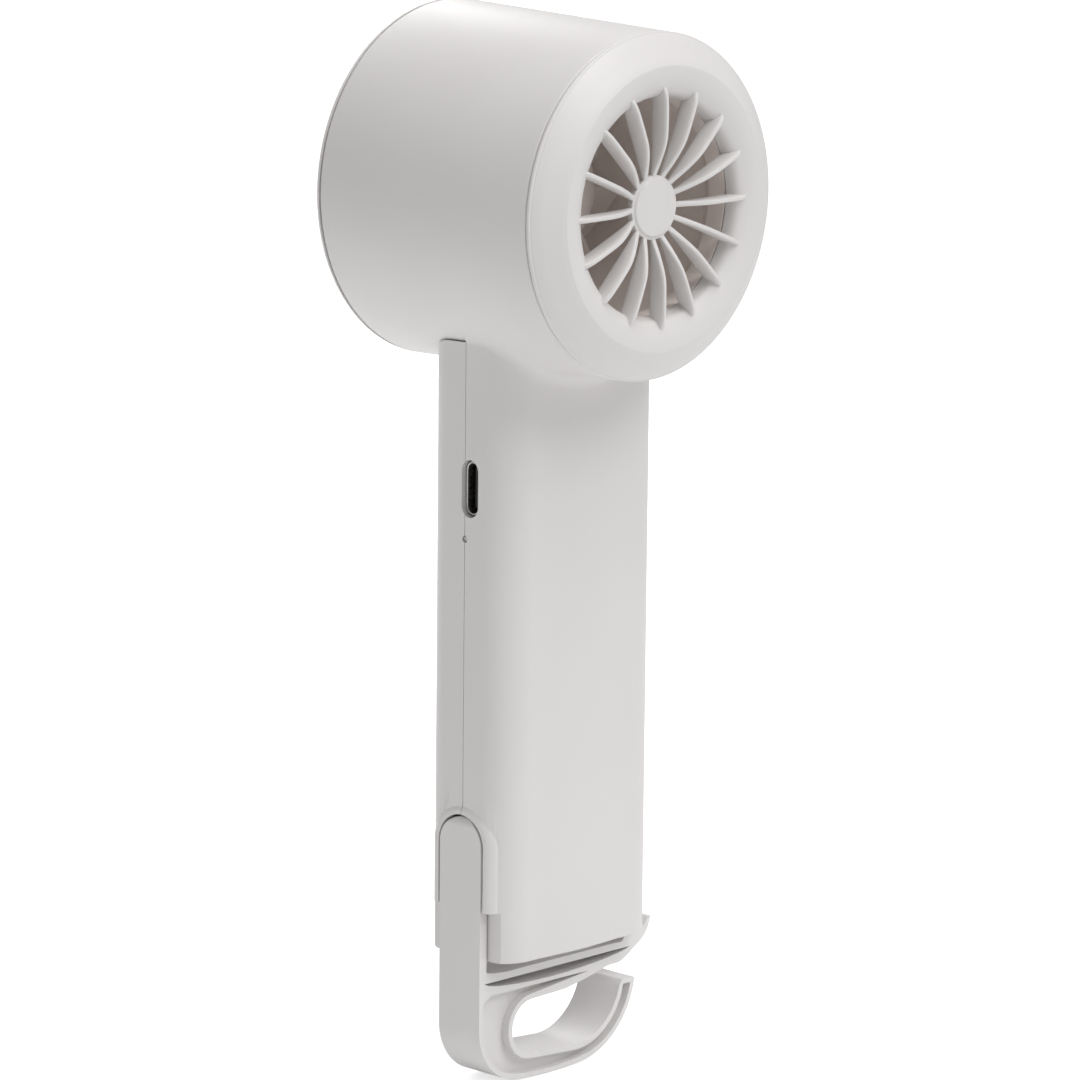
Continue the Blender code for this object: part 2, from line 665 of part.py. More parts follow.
def motor_bracket(window):
    """Ring, stator vanes, nacelle and bearing tube in one moulding."""
    ring_end = FLANGE_FRONT_Y - GAP
    rim = SLEEVE_OUTER + BRACKET_RIM
    ring = turned("motor_bracket", [
        (BRACKET_RADIUS, ring_end + BRACKET_DEPTH), (BRACKET_RADIUS, ring_end), (rim, ring_end),
        (rim, ring_end - FLANGE), (BRACKET_RADIUS - DUCT_WALL, ring_end - FLANGE),
        (BRACKET_RADIUS - DUCT_WALL, ring_end + BRACKET_DEPTH),
    ], (0, 0, HEAD_CENTRE_Z))
    tube_end = BASE_TOP_Y - 3.2 * MM
    nacelle = turned("nacelle", [
        (BEARING_SEAT, ROTOR_TOP_Y - 2.0 * MM), (TUBE_RADIUS, ROTOR_TOP_Y - 2.0 * MM),
        (TUBE_RADIUS, BASE_TOP_Y), (NACELLE_RADIUS, BASE_TOP_Y),
        (NACELLE_RADIUS, ring_end + 2.0 * MM), (NACELLE_RADIUS - NACELLE_WALL, ring_end + 2.0 * MM),
        (NACELLE_RADIUS - NACELLE_WALL, BASE_TOP_Y - NACELLE_WALL), (TUBE_RADIUS, BASE_TOP_Y - NACELLE_WALL),
        (TUBE_RADIUS, tube_end), (BEARING_SEAT, tube_end),
    ], (0, 0, HEAD_CENTRE_Z), steps=32)
    vane_middle = ring_end + BRACKET_DEPTH / 2
    vanes = blade_ring("stator_vanes", STATOR_VANES, NACELLE_RADIUS - NACELLE_WALL / 2,
                       BRACKET_RADIUS - DUCT_WALL / 2, vane_middle, STATOR_CHORD,
                       (STATOR_LEAN, STATOR_LEAN), BLADE_THICKNESS, math.pi / 2)
    join(ring, vanes, nacelle)
    cut(ring, window, *screw_holes("bracket_hole", 0.9 * MM, ring_end))
    return finish(ring, "grey_plastic")


def impeller():
    """Hub and blades; its origin is on the axis it turns about."""
    shaft_seat = SHAFT_RADIUS + GAP
    hub_top = ROTOR_TOP_Y + GAP
    nose = IMPELLER_NOSE_Y
    hub = turned("impeller", [
        (0, nose), (0.54 * NACELLE_RADIUS, nose - 0.6 * MM), (0.88 * NACELLE_RADIUS, nose - 2.8 * MM),
        (NACELLE_RADIUS, nose - 5.2 * MM), (NACELLE_RADIUS, HUB_OPEN_Y), (HUB_BORE, HUB_OPEN_Y),
        (HUB_BORE, hub_top), (shaft_seat, hub_top), (shaft_seat, nose - 1.9 * MM), (0, nose - 1.9 * MM),
    ], (0, 0, HEAD_CENTRE_Z), closed=False, steps=32)
    blades = blade_ring("impeller_blades", IMPELLER_BLADES, NACELLE_RADIUS - IMPELLER_WALL / 2,
                        DUCT_RADIUS - 2 * RUNNING_GAP, HUB_OPEN_Y + 5.0 * MM, IMPELLER_CHORD, BLADE_LEANS,
                        BLADE_THICKNESS, 0)
    join(hub, blades)
    return finish(hub, "impeller_plastic")


def rotor_pieces():
    """Steel cup, magnet ring and shaft that turn with the impeller."""
    centre = (0, 0, HEAD_CENTRE_Z)
    top = ROTOR_TOP_Y
    open_y = HUB_OPEN_Y + GAP
    seat = SHAFT_RADIUS + GAP
    cup = turned("rotor_cup", [
        (seat, top), (ROTOR_RADIUS, top), (ROTOR_RADIUS, open_y), (ROTOR_RADIUS - ROTOR_WALL, open_y),
        (ROTOR_RADIUS - ROTOR_WALL, top - ROTOR_WALL), (seat, top - ROTOR_WALL),
    ], centre, steps=32)
    magnet_top = top - ROTOR_WALL - GAP
    magnet = turned("magnet_ring", [
        (MAGNET_RADIUS, magnet_top), (MAGNET_RADIUS, open_y + GAP),
        (MAGNET_RADIUS - MAGNET_WALL, open_y + GAP), (MAGNET_RADIUS - MAGNET_WALL, magnet_top),
    ], centre, steps=32)
    high = IMPELLER_NOSE_Y - 2.2 * MM
    low = BASE_TOP_Y - 3.6 * MM
    shaft = rod("motor_shaft", SHAFT_RADIUS, high - low, centre, steps=16)
    shaft.data.transform(Matrix.Translation((0, 0, (high + low) / 2)))
    finish(cup, "steel")
    finish(magnet, "magnet")
    finish(shaft, "steel")


def bearing(name, top):
    inner = SHAFT_RADIUS + GAP
    ring = turned(name, [
        (BEARING_RADIUS, top), (BEARING_RADIUS, top - BEARING_LENGTH),
        (inner, top - BEARING_LENGTH), (inner, top),
    ], (0, 0, HEAD_CENTRE_Z), steps=24)
    return finish(ring, "steel")


def motor_core():
    """Laminated stator with its windings, as a toothed block round the bearing tube."""
    bore = TUBE_RADIUS + GAP
    tooth = 360 / CORE_TEETH
    outline = []
    for index in range(CORE_TEETH):
        start = tooth * index
        outline += arc((0, 0), CORE_RADIUS, start, start + tooth * 0.72, 4)
        outline += arc((0, 0), bore + 0.9 * MM, start + tooth * 0.8, start + tooth * 0.92, 1)
    top = ROTOR_TOP_Y - ROTOR_WALL - 0.9 * MM
    low = HUB_OPEN_Y + 1.4 * MM
    core = prism("motor_core", outline, -(top - low) / 2, (top - low) / 2, "Y")
    core.location = (0, (top + low) / 2, HEAD_CENTRE_Z)
    cut(core, rod("core_bore", bore, BARREL_LENGTH, (0, 0, HEAD_CENTRE_Z), steps=24))
    return finish(core, "copper")


def motor_board():
    """Ring-shaped driver board in the nacelle."""
    top = BASE_TOP_Y - NACELLE_WALL - GAP
    outer = NACELLE_RADIUS - NACELLE_WALL - GAP
    ring = turned("motor_board", [
        (outer, top), (outer, top - BOARD_THICKNESS), (TUBE_RADIUS + GAP, top - BOARD_THICKNESS),
        (TUBE_RADIUS + GAP, top),
    ], (0, 0, HEAD_CENTRE_Z), steps=32)
    return finish(ring, "board_green")


def pan_screw(name, head_radius, shank_radius, head_height, length, place, axis):
    """A small screw whose head's underside is at its origin, its point along the axis."""
    return finish(turned(name, [
        (0, length), (shank_radius, length), (shank_radius, 0), (head_radius, 0),
        (head_radius, -0.4 * head_height), (0.8 * head_radius, -head_height), (0, -head_height),
    ], place, axis, closed=False, steps=12), "steel")


# ---------------------------------------------------------------- handle contents

def battery_pieces():
    """Pouch cell and the foam pad that holds it to the rear shell."""
    left = -INNER_HALF_WIDTH + HOOK_THICKNESS + BATTERY_SIDE_GAP
    right = BACKING_X - BATTERY_SIDE_GAP
    floor = HANDLE_BOTTOM_Z + HANDLE_WALL + BATTERY_END_GAP
    rear = INNER_HALF_DEPTH - BATTERY_PAD - 2 * GAP
    front = BATTERY_FRONT_GAP - INNER_HALF_DEPTH
    high = BOARD_BOTTOM_Z - BATTERY_LEAD_ROOM
    cell = block("battery_cell", (left, front, floor), (right, rear, high))
    soften = cell.modifiers.new("soft_edges", "BEVEL")
    soften.width = 1.2 * MM
    soften.segments = 2
    pad = block("battery_pad", (left + 3 * MM, rear + GAP, floor + 8 * MM),
                (right - 3 * MM, rear + GAP + BATTERY_PAD, high - 8 * MM))
    finish(cell, "battery_wrap")
    finish(pad, "foam")
    return left, (front + rear) / 2, high


def main_board():
    half = BOARD_WIDTH / 2
    board = block("main_board", (-half, BOARD_REAR_Y - BOARD_THICKNESS, BOARD_BOTTOM_Z),
                  (half, BOARD_REAR_Y, BOARD_BOTTOM_Z + BOARD_HEIGHT))
    for index, (x, z) in enumerate(board_screw_places()):
        cut(board, rod(f"board_hole_{index}", SCREW_HOLE_RADIUS, 4 * BOARD_THICKNESS,
                       (x, BOARD_REAR_Y, z), steps=12))
        pan_screw(f"board_screw_{index + 1}", 1.7 * MM, 0.8 * MM, 1.0 * MM, BOARD_SCREW_LENGTH,
                  (x, BOARD_REAR_Y - BOARD_THICKNESS - GAP, z), "+Y")
    return finish(board, "board_green")


def usb_socket():
    """Metal shell and the tongue inside it."""
    outer_x = HALF_WIDTH - USB_SETBACK
    inner_x = outer_x - USB_LENGTH
    wall = USB_WALL
    shell = prism("usb_shell", stadium((USB_Y, USB_Z), USB_DEPTH, USB_HEIGHT), inner_x, outer_x, "X")
    hollow = stadium((USB_Y, USB_Z), USB_DEPTH - 2 * wall, USB_HEIGHT - 2 * wall)
    cut(shell, prism("usb_hollow", hollow, inner_x - THROUGH, outer_x + THROUGH, "X"))
    finish(shell, "steel")
    room = wall + GAP
    back = prism("usb_tongue", stadium((USB_Y, USB_Z), USB_DEPTH - 2 * room, USB_HEIGHT - 2 * room),
                 inner_x, inner_x + 1.6 * MM, "X")
    half_span = USB_HEIGHT / 2 - 1.2 * MM
    half = USB_TONGUE_THICKNESS / 2
    tongue = block("usb_blade", (inner_x + 1.0 * MM, USB_Y - half, USB_Z - half_span),
                   (outer_x - 1.0 * MM, USB_Y + half, USB_Z + half_span))
    join(back, tongue)
    finish(back, "black_plastic")


def lamp_pieces():
    """Indicator lamp at the board's edge and the light pipe that leads it to the side."""
    edge = BOARD_WIDTH / 2
    lamp = block("status_led", (edge - 1.6 * MM, BOARD_REAR_Y + GAP, LED_Z - 0.6 * MM),
                 (edge, BOARD_REAR_Y + GAP + 1.3 * MM, LED_Z + 0.6 * MM))
    start = edge + GAP
    end = HALF_WIDTH - GAP
    middle = ((start + end) / 2, 0, LED_Z)
    pipe = rod("light_pipe", LED_HOLE_RADIUS - 0.2 * MM, end - start, middle, "+X", steps=10)
    finish(lamp, "lamp")
    finish(pipe, "clear_plastic")


def button_pieces():
    """Power button, which slides along Y, and the switch behind it."""
    face = HALF_DEPTH + HANDLE_CROWN
    top = face + BUTTON_PROUD
    flange_top = HALF_DEPTH - HANDLE_WALL + 0.05 * MM
    stem_end = flange_top - 2.4 * MM
    button = turned("power_button", [
        (0, top), (BUTTON_RADIUS - 1.2 * MM, top - 0.05 * MM), (BUTTON_RADIUS, top - 0.6 * MM),
        (BUTTON_RADIUS, flange_top), (BUTTON_RADIUS + BUTTON_FLANGE, flange_top),
        (BUTTON_RADIUS + BUTTON_FLANGE, flange_top - BUTTON_FLANGE),
        (BUTTON_STEM_RADIUS, flange_top - BUTTON_FLANGE), (BUTTON_STEM_RADIUS, stem_end), (0, stem_end),
    ], (0, 0, BUTTON_Z), "-Y", closed=False, steps=32)
    finish(button, "button_plastic")
    switch_rear = BOARD_REAR_Y - BOARD_THICKNESS - GAP
    half = SWITCH_SIZE / 2
    switch = block("tact_switch", (-half, switch_rear - SWITCH_HEIGHT, BUTTON_Z - half),
                   (half, switch_rear, BUTTON_Z + half))
    plunger_top = -stem_end + BUTTON_TRAVEL + GAP
    plunger_low = switch_rear - 1.0 * MM
    join(switch, rod("switch_plunger", 1.5 * MM, plunger_low - plunger_top,
                     (0, (plunger_low + plunger_top) / 2, BUTTON_Z), steps=16))
    finish(switch, "black_plastic")


def leads(left, middle_y, high):
    """Wires from the battery to the board, and from the board to the motor."""
    board_foot = BOARD_BOTTOM_Z - GAP - LEAD_RADIUS
    for name, x, material in (("battery_lead_red", left + 11 * MM, "red_wire"),
                              ("battery_lead_black", left + 14 * MM, "black_wire")):
        lead(name, [(x, middle_y, high + GAP), (x, middle_y, high + 1.2 * MM),
                    (x, 0.6 * MM, board_foot), (x, 0.6 * MM, BOARD_BOTTOM_Z + 3 * MM)],
             material)
    y = LEAD_Y
    sleeve_foot = HEAD_CENTRE_Z - (SLEEVE_OUTER + BORE_RADIUS) / 2
    end = HEAD_CENTRE_Z - NACELLE_RADIUS + NACELLE_WALL + 1.4 * MM
    for name, x, material in (("motor_lead_red", 0.9 * MM, "red_wire"),
                              ("motor_lead_black", -0.9 * MM, "black_wire")):
        lead(name, [(x, 1.2 * MM, NECK_Z - 6 * MM), (x, 2.4 * MM, NECK_Z - 2 * MM),
                    (x, 3.2 * MM, NECK_Z + 2 * MM), (x, 3.0 * MM, sleeve_foot - 1.6 * MM),
                    (x, 0.5 * MM, sleeve_foot), (x, -6 * MM, sleeve_foot),
                    (x, y + 2.4 * MM, sleeve_foot + 0.6 * MM), (x, y, sleeve_foot + 3.2 * MM), (x, y, end)],
             material)


# ---------------------------------------------------------------- clip

def outer_run(inset, end):
    """Foot, shallow bottom and hook of the clip as a run of arcs, moved inwards by inset."""
    foot_x = ARM_OUTER_X - FOOT_CORNER
    turn = math.sin(math.radians(BOTTOM_TURN))
    right = foot_x + FOOT_CORNER * turn
    left = HOOK_X - HOOK_RADIUS * turn
    radius = (right - left) / 2 / turn
    foot = arc((foot_x, FOOT_CORNER + BOTTOM_LIFT), FOOT_CORNER - inset, 0, BOTTOM_TURN - 90, 10)
    bottom = arc(((right + left) / 2, radius), radius - inset, BOTTOM_TURN - 90, -BOTTOM_TURN - 90, 4)
    hook = arc((HOOK_X, HOOK_RADIUS + BOTTOM_LIFT), HOOK_RADIUS - inset, -BOTTOM_TURN - 90, end, 12)
    return foot + bottom[1:-1] + hook


def clip_outline():
    """The clip seen from the front, as one closed outline; its loop is open at the hook's mouth."""
    inner_hook = arc((HOOK_X, HOOK_RADIUS), HOOK_RADIUS - HOOK_WALL, -170, -90, 10)
    inner_hook[0] = (inner_hook[0][0] - RIB / 2, inner_hook[0][1] + RIB / 3)
    loop_end = arc(LOOP_END, LOOP_END_RADIUS, -90, 88, 10)
    side = -HALF_WIDTH
    top = CRADLE_TOP_Z
    roof = [(side + 16.5 * MM, top - 6.2 * MM), (side + 11.1 * MM, top - 5.2 * MM),
            (side + 6.5 * MM, top - 4.2 * MM), (side + 3.3 * MM, top - 4.0 * MM), (side + 0.4 * MM, top - 2 * RIB)]
    tip = (side - TAB_REACH, top + TAB_RISE)
    end_z = HANDLE_BOTTOM_Z - GAP
    tab = [(side - 0.45 * TAB_REACH, top - 0.9 * RIB), (side - 0.8 * TAB_REACH, top + 0.4 * RIB), tip,
           (tip[0] + TAB_THICKNESS, tip[1] - 0.2 * MM), (side - 0.58 * TAB_REACH, top + RIB),
           (side - 0.3 * TAB_REACH, top + RIB / 2), (side - GAP, end_z - RIB), (side + GAP, end_z),
           (side + CRADLE_END - RIB / 2, end_z), (side + CRADLE_END, end_z - RIB / 2),
           (side + CRADLE_END + RIB / 2, top - CRADLE_DROP), (ARM_INNER_X - 4 * RIB, top - CRADLE_DROP)]
    knuckle = arc((PIVOT_X, PIVOT_Z), KNUCKLE_RADIUS, -92, -268, 10)
    arm = [(ARM_INNER_X, top)] + knuckle
    head = [(ARM_INNER_X, ARM_TOP_Z), (ARM_OUTER_X - RIB / 2, ARM_TOP_Z), (ARM_OUTER_X, ARM_TOP_Z - RIB)]
    return outer_run(0, -172) + inner_hook + loop_end + roof + tab + arm + head


def groove_outline():
    """The slot between the cradle's two ribs: straight above, sagging below."""
    top = CRADLE_TOP_Z - GROOVE_TOP
    arm_end = ARM_OUTER_X - RIB
    tab_end = RIB - HALF_WIDTH
    lower = []
    for step in range(1, 12):
        share = step / 12
        sag = GROOVE_HEIGHT * math.sin(math.pi * share ** 0.9) ** 0.6
        lower.append((tab_end + (arm_end - tab_end) * (1 - share), top - sag))
    return [(arm_end, top), (tab_end, top)] + lower[::-1]


def band_outline():
    """The shallow recess that runs round the loop, between its rim and the outer wall."""
    inner_hook = arc((HOOK_X, HOOK_RADIUS), HOOK_RADIUS - HOOK_WALL + BAND_WALL, -168, -90, 10)
    rim = arc(LOOP_END, LOOP_END_RADIUS + BAND_WALL, -90, 88, 10)
    top = CRADLE_TOP_Z - GROOVE_TOP - GROOVE_HEIGHT - LOWER_RIB
    wedge = [(-HALF_WIDTH + 11 * MM, top - GAP / 2), (ARM_INNER_X - RIB, top),
             (ARM_OUTER_X - BAND_WALL, top - RIB)]
    return outer_run(BAND_WALL, -168) + inner_hook + rim + wedge


def carabiner_clip():
    """Arm, cradle, loop and finger tab; its origin is on the hinge pin."""
    clip = prism("carabiner_clip", clip_outline(), -CLIP_HALF, CLIP_HALF, "Y")
    far = 2 * CLIP_HALF
    arch = [(far, PIVOT_Z)] + arc((0, PIVOT_Z), CLIP_HALF, 0, 180, 16)
    arch += [(-far, PIVOT_Z), (-far, 2 * PIVOT_Z), (far, 2 * PIVOT_Z)]
    cut(clip, prism("arch_trim", arch, PIVOT_X - 2 * KNUCKLE_RADIUS, HANDLE_WIDTH, "X"))
    for side in (-1, 1):
        for label, outline, depth in (("groove", groove_outline(), GROOVE_DEPTH),
                                      ("band", band_outline(), RECESS_DEPTH)):
            ends = sorted((side * (CLIP_HALF - depth), side * (CLIP_HALF + THROUGH)))
            cut(clip, prism(f"{label}_{side}", outline, *ends, "Y"))
    pin_hole = rod("clip_pin_hole", PIN_RADIUS + GAP / 2, CLIP_DEPTH + THROUGH,
                   (PIVOT_X, 0, PIVOT_Z), steps=12)
    cut(clip, pin_hole)
    pivot = Matrix.Translation((PIVOT_X, 0, PIVOT_Z))
    clip.data.transform(pivot.inverted() @ clip.matrix_world)
    clip.matrix_world = pivot
    pin = rod("clip_pin", PIN_RADIUS, 2 * PIN_HALF_LENGTH, (PIVOT_X, 0, PIVOT_Z), steps=12)
    finish(clip, "white_plastic")
    finish(pin, "steel")


# ---------------------------------------------------------------- assembly

def build_fan():
    recess = clip_recess()
    openings = side_openings()
    rear_housing(recess + openings)
    front_cover(recess + openings)
    grille("intake_grille", "+Y", BARREL_REAR_RADIUS)
    grille("outlet_grille", "-Y", BARREL_FRONT_RADIUS)
    window = lead_window()
    inner_duct(window)
    motor_bracket(window)
    impeller()
    rotor_pieces()
    bearing("rear_bearing", ROTOR_TOP_Y - 2.4 * MM)
    bearing("front_bearing", BASE_TOP_Y - 0.4 * MM)
    motor_core()
    motor_board()
    for index, (x, z) in enumerate(bracket_screw_places()):
        pan_screw(f"bracket_screw_{index + 1}", 1.4 * MM, 0.7 * MM, 0.8 * MM, BRACKET_SCREW_LENGTH,
                  (x, FLANGE_FRONT_Y - 2 * GAP - FLANGE, z), "+Y")
    leads(*battery_pieces())
    main_board()
    usb_socket()
    lamp_pieces()
    button_pieces()
    carabiner_clip()


clear_scene()
PARTS = make_collection("handheld_fan")
CUTTERS = make_collection("cutters")
MATERIALS = {
    "white_plastic": make_material("white_plastic", (0.78, 0.76, 0.75), 0.45),
    "grey_plastic": make_material("grey_plastic", (0.55, 0.53, 0.51), 0.5),
    "impeller_plastic": make_material("impeller_plastic", (0.45, 0.43, 0.42), 0.4),
    "button_plastic": make_material("button_plastic", (0.7, 0.69, 0.68), 0.4),
    "black_plastic": make_material("black_plastic", (0.02, 0.02, 0.02), 0.5),
    "clear_plastic": make_material("clear_plastic", (0.8, 0.8, 0.8), 0.2),
    "steel": make_material("steel", (0.6, 0.59, 0.57), 0.3, 1.0),
    "magnet": make_material("magnet", (0.1, 0.1, 0.11), 0.5, 0.5),
    "copper": make_material("copper", (0.72, 0.38, 0.2), 0.35, 1.0),
    "board_green": make_material("board_green", (0.02, 0.16, 0.07), 0.4),
    "battery_wrap": make_material("battery_wrap", (0.5, 0.51, 0.53), 0.35, 0.6),
    "foam": make_material("foam", (0.05, 0.05, 0.05), 0.9),
    "lamp": make_material("lamp", (0.9, 0.9, 0.8), 0.3),
    "red_wire": make_material("red_wire", (0.6, 0.03, 0.02), 0.4),
    "black_wire": make_material("black_wire", (0.02, 0.02, 0.02), 0.4),
}
build_fan()
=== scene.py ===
# %% [markdown]
# # A handheld fan: round ducted head, flat handle, carabiner clip
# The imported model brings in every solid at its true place. The shells, grilles, impeller and clip that show
# are then made again as fine surfaces, each a formula on a grid, and ride on the same moving bodies. The
# frame comes first, because every later size is read from it.

# %% The frame
import json
import math

import bmesh
import bpy
import numpy as np
from mathutils import Matrix, Vector


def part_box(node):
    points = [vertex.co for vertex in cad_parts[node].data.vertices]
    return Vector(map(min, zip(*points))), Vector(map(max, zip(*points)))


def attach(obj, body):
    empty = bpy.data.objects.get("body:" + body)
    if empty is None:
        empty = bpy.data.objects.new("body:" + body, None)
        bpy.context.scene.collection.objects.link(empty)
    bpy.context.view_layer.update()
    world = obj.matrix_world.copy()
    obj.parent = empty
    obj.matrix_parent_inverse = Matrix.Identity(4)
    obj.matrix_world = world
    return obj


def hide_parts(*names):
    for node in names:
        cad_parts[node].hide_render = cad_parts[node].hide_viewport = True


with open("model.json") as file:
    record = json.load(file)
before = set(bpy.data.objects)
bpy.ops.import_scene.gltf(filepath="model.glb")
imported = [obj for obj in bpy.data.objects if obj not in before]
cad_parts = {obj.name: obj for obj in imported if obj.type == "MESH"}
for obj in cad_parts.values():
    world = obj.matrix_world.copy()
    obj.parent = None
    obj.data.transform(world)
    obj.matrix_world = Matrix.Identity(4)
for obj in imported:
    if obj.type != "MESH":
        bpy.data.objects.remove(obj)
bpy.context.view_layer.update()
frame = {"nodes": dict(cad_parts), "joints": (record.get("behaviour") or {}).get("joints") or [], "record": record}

nodes = frame["nodes"]
joints = {joint["name"]: joint for joint in frame["joints"]}

# %% [markdown]
# ## Sizes
# Nothing is measured twice: the head, the handle and the clip take their main sizes from the boxes of the
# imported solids, so the fine surfaces land on them. Only wall sizes and rounding radii are stated here.

# %% Sizes read from the frame
MM = 0.001
GAP = 0.3 * MM


def corners(node):
    low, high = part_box(node)
    return np.array(low), np.array(high)


_, housing_high = corners("rear_housing")
cover_low, _ = corners("front_cover")
_, intake_high = corners("intake_grille")
duct_low, duct_high = corners("inner_duct")
clip_low, clip_high = corners("carabiner_clip")
HEAD = np.array(joints["impeller_spin"]["pos_m"])
HINGE = np.array(joints["clip_swing"]["pos_m"])
HALF_BARREL = housing_high[1]
FRONT_RADIUS = housing_high[0]
REAR_RADIUS = intake_high[0]
BEZEL_HEIGHT = intake_high[1] - HALF_BARREL
BORE = duct_high[0] + GAP
HALF_WIDTH = -cover_low[0]
HANDLE_BOTTOM = cover_low[2]
CROWN = 0.6 * MM
HALF_DEPTH = -cover_low[1] - CROWN
CORNER = 6.0 * MM
WALL = 1.8 * MM
ARM_OUTER = clip_high[0]
CLIP_HALF = clip_high[1]
ARM_TOP = clip_high[2]
print(f"head radius {FRONT_RADIUS / MM:.1f} mm, handle half width {HALF_WIDTH / MM:.2f} mm")

# %% [markdown]
# ## From arrays to a mesh
# A moulded piece can be boxes and modifiers, or a surface that a formula gives. Here every piece is a stack
# of closed loops of points: a grid with one parameter round the loop and one along the stack. Caps close the
# two ends, so that each shell holds a volume.

# %% Loops of points become a closed surface
def faces_between(loops, points, closed=False):
    """Quads that join point j of loop i to point j + 1 and to loop i + 1, as whole index arrays."""
    i = np.arange(loops if closed else loops - 1)[:, None]
    j = np.arange(points)[None, :]
    after = (i + 1) % loops
    beside = (j + 1) % points
    quads = np.stack([i * points + j, i * points + beside, after * points + beside, after * points + j], -1)
    return quads.reshape(-1, 4)


def make_piece(name, shells, sharp=35.0):
    """Several stacks of loops, each (loops, points, 3), as one object; closed=True joins a stack's ends."""
    vertices, faces, start = [], [], 0
    for stack, closed in shells:
        loops, points = stack.shape[:2]
        vertices.append(stack.reshape(-1, 3))
        faces += (faces_between(loops, points, closed) + start).tolist()
        if not closed:
            faces.append((np.arange(points) + start).tolist())
            faces.append((np.arange(points) + start + (loops - 1) * points).tolist())
        start += loops * points
    mesh = bpy.data.meshes.new(name)
    mesh.from_pydata(np.concatenate(vertices).tolist(), [], faces)
    tidy(mesh, sharp)
    piece = bpy.data.objects.new(name, mesh)
    bpy.context.scene.collection.objects.link(piece)
    return piece


def tidy(mesh, sharp=35.0):
    """Merge the points that meet, turn every face outwards and shade smooth between the sharp edges."""
    shape = bmesh.new()
    shape.from_mesh(mesh)
    bmesh.ops.remove_doubles(shape, verts=shape.verts, dist=0.0005 * MM)
    bmesh.ops.dissolve_degenerate(shape, edges=shape.edges, dist=0.0005 * MM)
    bmesh.ops.recalc_face_normals(shape, faces=shape.faces)
    shape.to_mesh(mesh)
    shape.free()
    mesh.shade_smooth()
    mesh.set_sharp_from_angle(angle=math.radians(sharp))


# %% Outlines
def arc(centre, radius, start, end, steps=24):
    """Points at centre + radius (cos a, sin a), with a running evenly from start to end in degrees."""
    angle = np.radians(np.linspace(start, end, steps))
    return np.stack([centre[0] + radius * np.cos(angle), centre[1] + radius * np.sin(angle)], -1)


def eased(outline, radius, steps=5):
    """Round each corner: a quadratic curve from radius before the corner to radius after it."""
    outline = np.asarray(outline, float)
    before = np.roll(outline, 1, 0) - outline
    after = np.roll(outline, -1, 0) - outline
    length_before = np.linalg.norm(before, axis=1, keepdims=True)
    length_after = np.linalg.norm(after, axis=1, keepdims=True)
    start = outline + before / length_before * np.minimum(radius, 0.45 * length_before)
    end = outline + after / length_after * np.minimum(radius, 0.45 * length_after)
    t = np.linspace(0, 1, steps)[None, :, None]
    curve = (1 - t) ** 2 * start[:, None] + 2 * t * (1 - t) * outline[:, None] + t ** 2 * end[:, None]
    return curve.reshape(-1, 2)


def place(outline, level, axis):
    """Stand a flat outline at a level: (y, z) across X, (x, z) across Y or (x, y) across Z."""
    column = np.full(len(outline), level)
    first, second = outline.T
    order = {"X": (column, first, second), "Y": (first, column, second), "Z": (first, second, column)}
    return np.stack(order[axis], -1)


def slab(outline, low, high, axis):
    """A flat outline carried straight from low to high."""
    return np.stack([place(outline, low, axis), place(outline, high, axis)])


def turned(profile, centre, side=1, steps=128):
    """Turn (radius, height) points about the line along Y: (r cos a, side h, r sin a) + centre."""
    profile = np.asarray(profile, float)
    angle = np.linspace(0, 2 * math.pi, steps, endpoint=False)[None, :]
    radius = profile[:, :1]
    height = profile[:, 1:] + 0 * angle
    return np.stack([radius * np.cos(angle), side * height, radius * np.sin(angle)], -1) + centre


# %% Carving one piece with others
def carve(piece, shapes, operation="DIFFERENCE"):
    """Cut or join closed shapes, keep the result as the piece's own mesh and remove the shapes."""
    tools = []
    for index, shape in enumerate(shapes):
        tool = make_piece(f"{piece.name}_tool_{index}", [(shape, False)])
        modifier = piece.modifiers.new(tool.name, "BOOLEAN")
        modifier.operation = operation
        modifier.solver = "EXACT"
        modifier.object = tool
        tools.append(tool)
    graph = bpy.context.evaluated_depsgraph_get()
    mesh = bpy.data.meshes.new_from_object(piece.evaluated_get(graph))
    piece.modifiers.clear()
    piece.data = mesh
    for tool in tools:
        bpy.data.objects.remove(tool, do_unlink=True)
    tidy(mesh)


def soften(piece, width=0.12, segments=2):
    """Break the sharp edges by width millimetres, as a mould does."""
    bevel = piece.modifiers.new("broken_edges", "BEVEL")
    bevel.width = width * MM
    bevel.segments = segments
    bevel.limit_method = "ANGLE"
    bevel.angle_limit = math.radians(40)
    bevel.harden_normals = True


def settle(piece, body, slot, *replaced):
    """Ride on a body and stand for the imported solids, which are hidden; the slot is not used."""
    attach(piece, body)
    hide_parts(*replaced)
    print(piece.name, "stands for", ", ".join(replaced), len(piece.data.polygons), "faces")


# %% [markdown]
# ## Finishes
# Each moulded surface gets the same group of nodes with its own values: fine spark grain from the mould, a
# slow change of tone where the plastic flowed, and dust that settles on faces that look up. A group is the
# tidy way to share it; painting a flat colour would look like a toy model.

# %% A shared group: moulded grain, flow marks and dust
SATIN_LOW = 0.36
SATIN_HIGH = 0.50
ROUGH_SPREAD = 0.05
GRAIN_DEPTH = 0.02 * MM


def new_group(name, inputs, outputs):
    """An empty shader group with named sockets; inputs are (name, kind, default)."""
    group = bpy.data.node_groups.new(name, "ShaderNodeTree")
    for label, kind, default in inputs:
        socket = group.interface.new_socket(name=label, in_out="INPUT", socket_type=kind)
        socket.default_value = default
    for label, kind in outputs:
        group.interface.new_socket(name=label, in_out="OUTPUT", socket_type=kind)
    return group, group.nodes.new("NodeGroupInput"), group.nodes.new("NodeGroupOutput")


